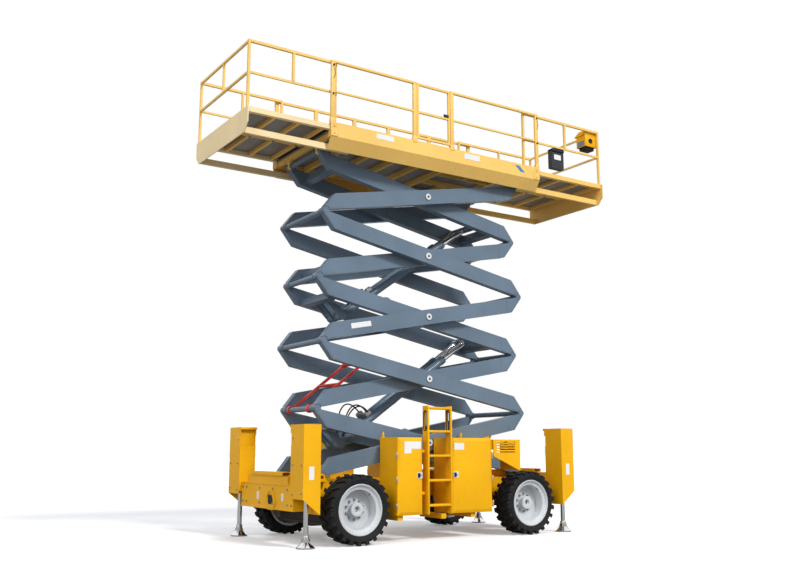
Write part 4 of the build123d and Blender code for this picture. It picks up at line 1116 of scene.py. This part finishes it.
# ------------------------------------------------------------------ chassis details
@dataclass
class Undercarriage:
    """Differential, steering rods, drive shaft and the bracket whose holes are painted shade."""

    rear_x: float = -1.6045
    front_x: float = 1.2355
    axle_z: float = 0.4425

    def build(self) -> None:
        """Model the axles' and rails' details."""
        pot = bench.drum("pot", (self.rear_x - 0.150, -0.05, 0.330),
                         (self.rear_x + 0.200, -0.05, 0.330), 0.150, 36)
        bench.recess(pot, facing((1, 0, 0)), 0.050, -0.060)
        bench.round_edges(pot, 0.012, 3)
        bench.settle(bench.weld("rear_differential", [pot]), IRON, "chassis")
        front = bench.drum("front_differential", (self.front_x - 0.170, 0.10, 0.425),
                           (self.front_x + 0.120, 0.10, 0.425), 0.135, 36)
        bench.recess(front, facing((-1, 0, 0)), 0.045, -0.060)
        bench.round_edges(front, 0.012, 3)
        bench.settle(front, IRON, "chassis")
        shaft = bench.drum("drive_shaft", (self.rear_x + 0.255, 0.0, 0.372),
                           (self.front_x - 0.225, 0.06, 0.420), 0.036, 24)
        bench.round_edges(shaft, 0.006)
        bench.settle(shaft, IRON, "chassis")
        cylinder = bench.drum("steer_cylinder", (self.front_x + 0.120, -0.230, 0.455),
                              (self.front_x + 0.120, 0.230, 0.455), 0.034, 28)
        bench.recess(cylinder, facing((0, 1, 0)), 0.008, -0.012)
        bench.recess(cylinder, facing((0, -1, 0)), 0.008, -0.012)
        bench.round_edges(cylinder, 0.003)
        bench.settle(cylinder, DARK, "chassis")
        self._bracket()

    def _bracket(self) -> None:
        """Yellow bracket above each rail, behind the cabinets, with near-black discs of painted shade for
        its round holes.
        """
        for name, side in SIDES:
            low, high = (0.600, 0.760), (0.880, 0.900)
            plane = slanted((0.0, side * 0.676, 0.0), 0.0)
            points = [(low[0], low[1]), (high[0], low[1]), (high[0], high[1] - 0.04),
                      (high[0] - 0.05, high[1]), (low[0] + 0.05, high[1]), (low[0], 0.86)]
            web = bench.outline("web", plane, points, 0.008)
            bench.round_edges(web, 0.002)
            rings = [web]
            for x in (0.675, 0.805):
                rings.append(bench.torus("ring", (x, side * 0.676 - 0.006, 0.830), (0, 1, 0),
                                         0.042, 0.007, 28, 8))
            bench.settle(bench.weld(f"rail_bracket_{name}", rings), YELLOW, "chassis")
            # Painted shade: near-black discs inside the rings stand for the dark openings of the holes.
            holes = []
            for x in (0.675, 0.805):
                hole = bench.drum("hole", (x, side * 0.676 - 0.0115, 0.830),
                                  (x, side * 0.676 + 0.0035, 0.830), 0.037, 28)
                bench.round_edges(hole, 0.001, 1)
                holes.append(hole)
            bench.settle(bench.weld(f"rail_bracket_holes_{name}", holes), HOSE_AND_HOLE_SHADE, "chassis")


# ------------------------------------------------------------------ platform
@dataclass
class Platform:
    """Deck plates, placards, gate latch, corner brackets and pins."""

    half_width: float = 0.900
    deck_x: tuple[float, float] = (-1.981, 1.790)
    deck_bottom: float = 5.380
    toe_top: float = 5.584
    rail_top: float = 6.481

    def build(self) -> None:
        """Model the platform's fittings."""
        self._placards()
        self._corner_brackets()
        self._near_guard()
        self._rib_covers()
        self._post_feet()
        self._gate_latch()
        self._lanyard_pins()

    def _placards(self) -> None:
        """Blank plates on the near toe board."""
        y = -self.half_width
        for tag, finish, (x0, x1, z0, z1) in (
                ("wide", WHITE, (0.300, 0.590, 5.470, 5.555)),
                ("rear", WHITE, (-1.250, -0.960, 5.480, 5.555))):
            plate = bench.box(f"deck_placard_{tag}", (x0, y - 0.0020, z0), (x1, y + 0.0005, z1))
            bench.round_edges(plate, 0.0008, 1)
            bench.settle(plate, finish, "platform")
        plane = slanted((1.290, y + 0.0004, 5.455), 0.0)
        flag = bench.outline("deck_stripe", plane, [(0.11, 0.0), (0.20, 0.0), (0.09, 0.095),
                                                    (0.0, 0.095)], 0.0022)
        bench.settle(flag, BLUE, "platform")

    def _corner_brackets(self) -> None:
        """Roller brackets where the extension decks leave the main deck."""
        for tag, x, outward in (("left", self.deck_x[0], -1), ("right", self.deck_x[1], 1)):
            for name, side in SIDES:
                y = side * self.half_width
                plate = bench.box("plate", (x - 0.110 if outward > 0 else x, y - side * 0.003, 5.385),
                                  (x if outward > 0 else x + 0.110, y + side * 0.0085, 5.575))
                bench.recess(plate, facing((0.0, float(side), 0.0)), 0.018, 0.003)
                bench.round_edges(plate, 0.003)
                parts = [plate]
                for z in (5.430, 5.530):
                    knob = bench.drum("knob", (x - outward * 0.055, y, z),
                                      (x - outward * 0.055, y + side * 0.018, z), 0.013, 6)
                    parts.append(knob)
                bench.settle(bench.weld(f"corner_bracket_{tag}_{name}", parts), HIGHLIGHT_YELLOW, "platform")

    def _near_guard(self) -> None:
        """Near guard rail: two long open bays beside the gate's posts."""
        y, half, tube = -(self.half_width - 0.018), 0.018, 0.036
        top, middle = self.rail_top - tube, self.rail_top - 0.451
        parts = []
        for first, last in ((self.deck_x[0], -0.560), (0.048, self.deck_x[1])):
            parts.append(bench.box("rail", (first, y - half, top), (last, y + half, self.rail_top)))
            parts.append(bench.box("bar", (first + 0.058, y - 0.012, middle - 0.015),
                                   (last - 0.058, y + 0.012, middle + 0.015)))
            for x in (first + 0.030, last - 0.030):
                parts.append(bench.box("post", (x - 0.030, y - half, self.toe_top + 0.0005),
                                       (x + 0.030, y + half, top - 0.0005)))
        for z in (5.900, 6.300):
            parts.append(bench.box("hinge", (-0.575, y + half - 0.001, z - 0.038),
                                   (-0.553, -0.861, z - 0.021)))
            parts.append(bench.drum("hinge_pin", (-0.557, -0.870, z - 0.038),
                                    (-0.557, -0.870, z + 0.038), 0.006, 16))
        for part in parts:
            bench.round_edges(part, 0.0025)
        guard = bench.settle(bench.weld("near_guard", parts), HIGHLIGHT_YELLOW, "platform")
        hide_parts("guard_rail_near")

    def _rib_covers(self) -> None:
        """Yellow floor ribs and middle bars under the extension decks."""
        for tag, start, end in (("left", -1.630, -3.200), ("right", 1.430, 3.200)):
            ribs = []
            for k in range(5):
                x = start + (0.04 + 0.23 * k) * (end - start)
                ribs.append(bench.box("rib", (x - 0.0212, -0.8065, 5.4812), (x + 0.0212, 0.8065, 5.5345)))
            reach = sorted((start + 0.04 * (end - start), start + 0.96 * (end - start)))
            ribs.append(bench.box("bar", (reach[0], -0.0212, 5.4812), (reach[1], 0.0212, 5.5345)))
            for rib in ribs:
                bench.round_edges(rib, 0.002, 1)
            bench.settle(bench.weld(f"extension_ribs_{tag}", ribs), HIGHLIGHT_YELLOW, f"extension_{tag}")

    def _post_feet(self) -> None:
        """Bolted sockets at the feet of the main guard rails' posts."""
        for name, side, posts in (("near", -1, (-1.951, -0.590, 0.078, 1.760)),
                                  ("far", 1, (-1.951, -1.270, -0.565, 0.090, 0.915, 1.760))):
            feet = []
            y = side * (self.half_width - 0.018)
            for x in posts:
                foot = bench.box("foot", (x - 0.038, y - 0.0245, self.toe_top - 0.030),
                                 (x + 0.038, y + 0.0245, self.toe_top + 0.050))
                bench.round_edges(foot, 0.004)
                feet.append(foot)
            bench.settle(bench.weld(f"post_feet_{name}", feet), HIGHLIGHT_YELLOW, "platform")

    def _gate_latch(self) -> None:
        """Latch body and handle on the gate's free stile."""
        low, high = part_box("gate")
        z = (low.z + high.z) / 2 + 0.020
        latch = bench.box("latch", (high.x - 0.120, low.y - 0.010, z - 0.020),
                          (high.x - 0.030, low.y + 0.004, z + 0.020))
        bench.recess(latch, facing((0, -1, 0)), 0.008, -0.008)
        bench.round_edges(latch, 0.003)
        latch.name = "gate_latch"
        bench.settle(latch, DARK, "gate")

    def _lanyard_pins(self) -> None:
        """Black locking pins where the extension rails meet the main rails."""
        for tag, x, body in (("left", self.deck_x[0] + 0.030, "platform"),
                             ("right", self.deck_x[1] - 0.030, "platform")):
            for name, side in SIDES:
                y = side * (self.half_width + 0.0005)
                pins = []
                for z in (self.rail_top - 0.070, 5.990):
                    pin = bench.drum("pin", (x, y - side * 0.002, z), (x, y + side * 0.020, z),
                                     0.011, 16)
                    bench.recess(pin, facing((0.0, float(side), 0.0)), 0.003, -0.006)
                    pins.append(pin)
                cord = bench.hose("cord", [(x, y + side * 0.015, self.rail_top - 0.072),
                                           (x + 0.02, y + side * 0.012, self.rail_top - 0.140),
                                           (x + 0.03, y + side * 0.008, self.rail_top - 0.210),
                                           (x + 0.01, y + side * 0.004, self.rail_top - 0.260),
                                           (x, y - side * 0.001, self.rail_top - 0.270)], 0.003)
                pins.append(cord)
                bench.settle(bench.weld(f"rail_pins_{tag}_{name}", pins), HOSE_AND_HOLE_SHADE, body)


@dataclass
class Controls:
    """Panel, joystick and buttons of the control box, and the document box's lid."""

    low: Point = (2.925, -0.8195, 6.200)
    high: Point = (3.178, -0.610, 6.395)
    body: str = "extension_right"

    def build(self) -> None:
        """Model the fittings of both boxes."""
        low, high = Vector(self.low), Vector(self.high)
        casing = bench.box("casing", low, high)
        bench.recess(casing, facing((0, 0, -1)), 0.012, 0.030)
        profile = Matrix(((0, 0, 1, low.x - 0.012), (1, 0, 0, 0), (0, 1, 0, 0), (0, 0, 0, 1)))
        hood = bench.outline("hood", profile, [(low.y, high.z - 0.001), (high.y + 0.035, high.z - 0.001),
                                               (high.y + 0.035, high.z + 0.012),
                                               (high.y - 0.070, 6.472), (low.y, 6.472)],
                             high.x - low.x + 0.024)
        for part in (casing, hood):
            bench.round_edges(part, 0.005)
        box = bench.settle(bench.weld("control_casing", [casing, hood]), YELLOW, self.body)
        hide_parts("control_box")
        panel = bench.box("control_panel", (low.x - 0.004, low.y + 0.030, 6.212),
                          (low.x + 0.002, high.y - 0.030, 6.300))
        bench.recess(panel, facing((-1, 0, 0)), 0.010, 0.003)
        bench.round_edges(panel, 0.0015, 1)
        bench.settle(panel, LABEL_GREY, self.body)
        socket = bench.drum("control_socket", (3.040, low.y + 0.002, 6.300),
                            (3.040, low.y - 0.010, 6.300), 0.042, 28)
        bench.recess(socket, facing((0, -1, 0)), 0.012, 0.006)
        bench.round_edges(socket, 0.002)
        bench.settle(socket, HOSE_AND_HOLE_SHADE, self.body)
        base = bench.box("control_base", (low.x + 0.030, low.y + 0.030, 6.150),
                         (high.x - 0.030, high.y - 0.030, 6.235))
        bench.round_edges(base, 0.006)
        bench.settle(base, HOSE_AND_HOLE_SHADE, self.body)
        stick = bench.hose("control_stick", [(2.990, high.y - 0.004, 6.290),
                                             (2.990, high.y + 0.022, 6.295),
                                             (2.990, high.y + 0.040, 6.310),
                                             (2.990, high.y + 0.052, 6.335),
                                             (2.990, high.y + 0.056, 6.360)], 0.011)
        bench.settle(stick, HOSE_AND_HOLE_SHADE, self.body)
        stop = bench.drum("stop_button", (3.100, high.y - 0.002, 6.300),
                          (3.100, high.y + 0.030, 6.300), 0.022, 28)
        bench.recess(stop, facing((0, 1, 0)), 0.006, -0.006)
        bench.round_edges(stop, 0.004)
        bench.settle(stop, RED, self.body)
        box_low, box_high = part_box("document_box")
        lid = bench.box("document_lid", (box_low.x + 0.0, box_low.y + 0.006, 5.968),
                        (box_high.x + 0.0, box_high.y + 0.006, 6.002))
        bench.round_edges(lid, 0.006, 3)
        bench.settle(lid, DARK, "extension_right")
        label = bench.box("document_label", (box_low.x + 0.050, box_low.y + 0.0285, 5.830),
                          (box_high.x - 0.060, box_low.y + 0.0315, 5.915))
        bench.round_edges(label, 0.001, 1)
        bench.settle(label, WHITE, "extension_right")


# ------------------------------------------------------------------ studio
@dataclass
class Studio:
    """Camera, pale floor and soft lamps."""

    camera_place: Point = (-7.601, -11.072, 1.190)
    camera_yaw: float = 0.5825
    camera_pitch: float = 0.1805
    focal_length: float = 40.6
    floor_reach: float = 120.0
    floor_bounce: Point = (0.30, 0.29, 0.28)
    floor_glow: float = 0.22

    def build(self) -> None:
        """Set the camera, the floor, the lamps and the world."""
        self._camera()
        self._floor()
        self._lamps()
        self._world()

    def _camera(self) -> None:
        """Add the camera and make it the scene's own."""
        data = bpy.data.cameras.new("camera")
        data.lens = self.focal_length
        data.sensor_width = 36.0
        data.clip_end = 500.0
        camera = bpy.data.objects.new("camera", data)
        camera.location = self.camera_place
        camera.rotation_euler = (math.pi / 2 + self.camera_pitch, 0.0, -self.camera_yaw)
        bpy.context.scene.collection.objects.link(camera)
        bpy.context.scene.camera = camera

    def _floor(self) -> None:
        """Lay the pale floor, white to the camera where it is fully lit."""
        bench.deselect()
        bpy.ops.mesh.primitive_plane_add(size=2 * self.floor_reach, location=(0, 0, 0))
        floor = bpy.context.object
        floor.name = "studio_floor"
        material = bpy.data.materials.new("pale_floor")
        material.use_nodes = True
        tree = material.node_tree
        shader = tree.nodes["Principled BSDF"]
        shader.inputs["Roughness"].default_value = 0.9
        rays = tree.nodes.new("ShaderNodeLightPath")
        shade = tree.nodes.new("ShaderNodeMix")
        shade.data_type = "RGBA"
        shade.inputs[6].default_value = (*self.floor_bounce, 1.0)
        shade.inputs[7].default_value = (0.90, 0.90, 0.90, 1.0)
        tree.links.new(rays.outputs["Is Camera Ray"], shade.inputs[0])
        tree.links.new(shade.outputs[2], shader.inputs["Base Color"])
        lift = tree.nodes.new("ShaderNodeMath")
        lift.operation = "MULTIPLY"
        lift.inputs[1].default_value = self.floor_glow
        tree.links.new(rays.outputs["Is Camera Ray"], lift.inputs[0])
        shader.inputs["Emission Color"].default_value = (1.0, 1.0, 1.0, 1.0)
        tree.links.new(lift.outputs[0], shader.inputs["Emission Strength"])
        coords = tree.nodes.new("ShaderNodeTexCoord").outputs["Object"]
        speck = tree.nodes.new("ShaderNodeTexNoise")
        speck.inputs["Scale"].default_value = 3.0
        tree.links.new(coords, speck.inputs["Vector"])
        bump = tree.nodes.new("ShaderNodeBump")
        bump.inputs["Distance"].default_value = 0.0004
        tree.links.new(speck.outputs["Fac"], bump.inputs["Height"])
        tree.links.new(bump.outputs["Normal"], shader.inputs["Normal"])
        floor.data.materials.append(material)

    def _lamps(self) -> None:
        """Hang a soft key light and a fill."""
        for name, turn, energy, size in (("key", (50.0, 0.0, 14.0), 2.20, 12.0),
                                         ("fill", (64.0, 0.0, -62.0), 0.95, 30.0)):
            data = bpy.data.lights.new(name, "SUN")
            data.energy = energy
            data.angle = math.radians(size)
            lamp = bpy.data.objects.new(name, data)
            lamp.rotation_euler = [math.radians(a) for a in turn]
            bpy.context.scene.collection.objects.link(lamp)

    def _world(self) -> None:
        """Light from a pale sky that the camera, gloss and glass see as white."""
        world = bpy.data.worlds.new("studio")
        bpy.context.scene.world = world
        world.use_nodes = True
        tree = world.node_tree
        tree.nodes.clear()
        rays = tree.nodes.new("ShaderNodeLightPath")
        seen = tree.nodes.new("ShaderNodeMath")
        seen.operation = "MAXIMUM"
        tree.links.new(rays.outputs["Is Camera Ray"], seen.inputs[0])
        tree.links.new(rays.outputs["Is Transmission Ray"], seen.inputs[1])
        both = tree.nodes.new("ShaderNodeMath")
        both.operation = "MAXIMUM"
        tree.links.new(seen.outputs[0], both.inputs[0])
        tree.links.new(rays.outputs["Is Glossy Ray"], both.inputs[1])
        sky = tree.nodes.new("ShaderNodeBackground")
        sky.inputs["Color"].default_value = (0.90, 0.93, 1.0, 1.0)
        sky.inputs["Strength"].default_value = 0.58
        white = tree.nodes.new("ShaderNodeBackground")
        white.inputs["Color"].default_value = (1.0, 1.0, 1.0, 1.0)
        white.inputs["Strength"].default_value = 1.0
        blend = tree.nodes.new("ShaderNodeMixShader")
        tree.links.new(both.outputs[0], blend.inputs[0])
        tree.links.new(sky.outputs[0], blend.inputs[1])
        tree.links.new(white.outputs[0], blend.inputs[2])
        output = tree.nodes.new("ShaderNodeOutputWorld")
        tree.links.new(blend.outputs[0], output.inputs[0])


def main() -> None:
    """Dress the machine and set the studio."""
    logging.basicConfig(level=logging.INFO)
    bpy.context.scene.view_settings.view_transform = "Standard"
    Studio().build()
    dress_nodes()
    for end in ("rear", "front"):
        for name, side in SIDES:
            Wheel(end, name, side).build()
    for assembly in (ScissorStack(), SafetyProp(), Outriggers(), Cabinets(), Undercarriage(),
                     Platform(), Controls()):
        assembly.build()
    log.info("%d pieces", bench.count)


if __name__ == "__main__":
    main()
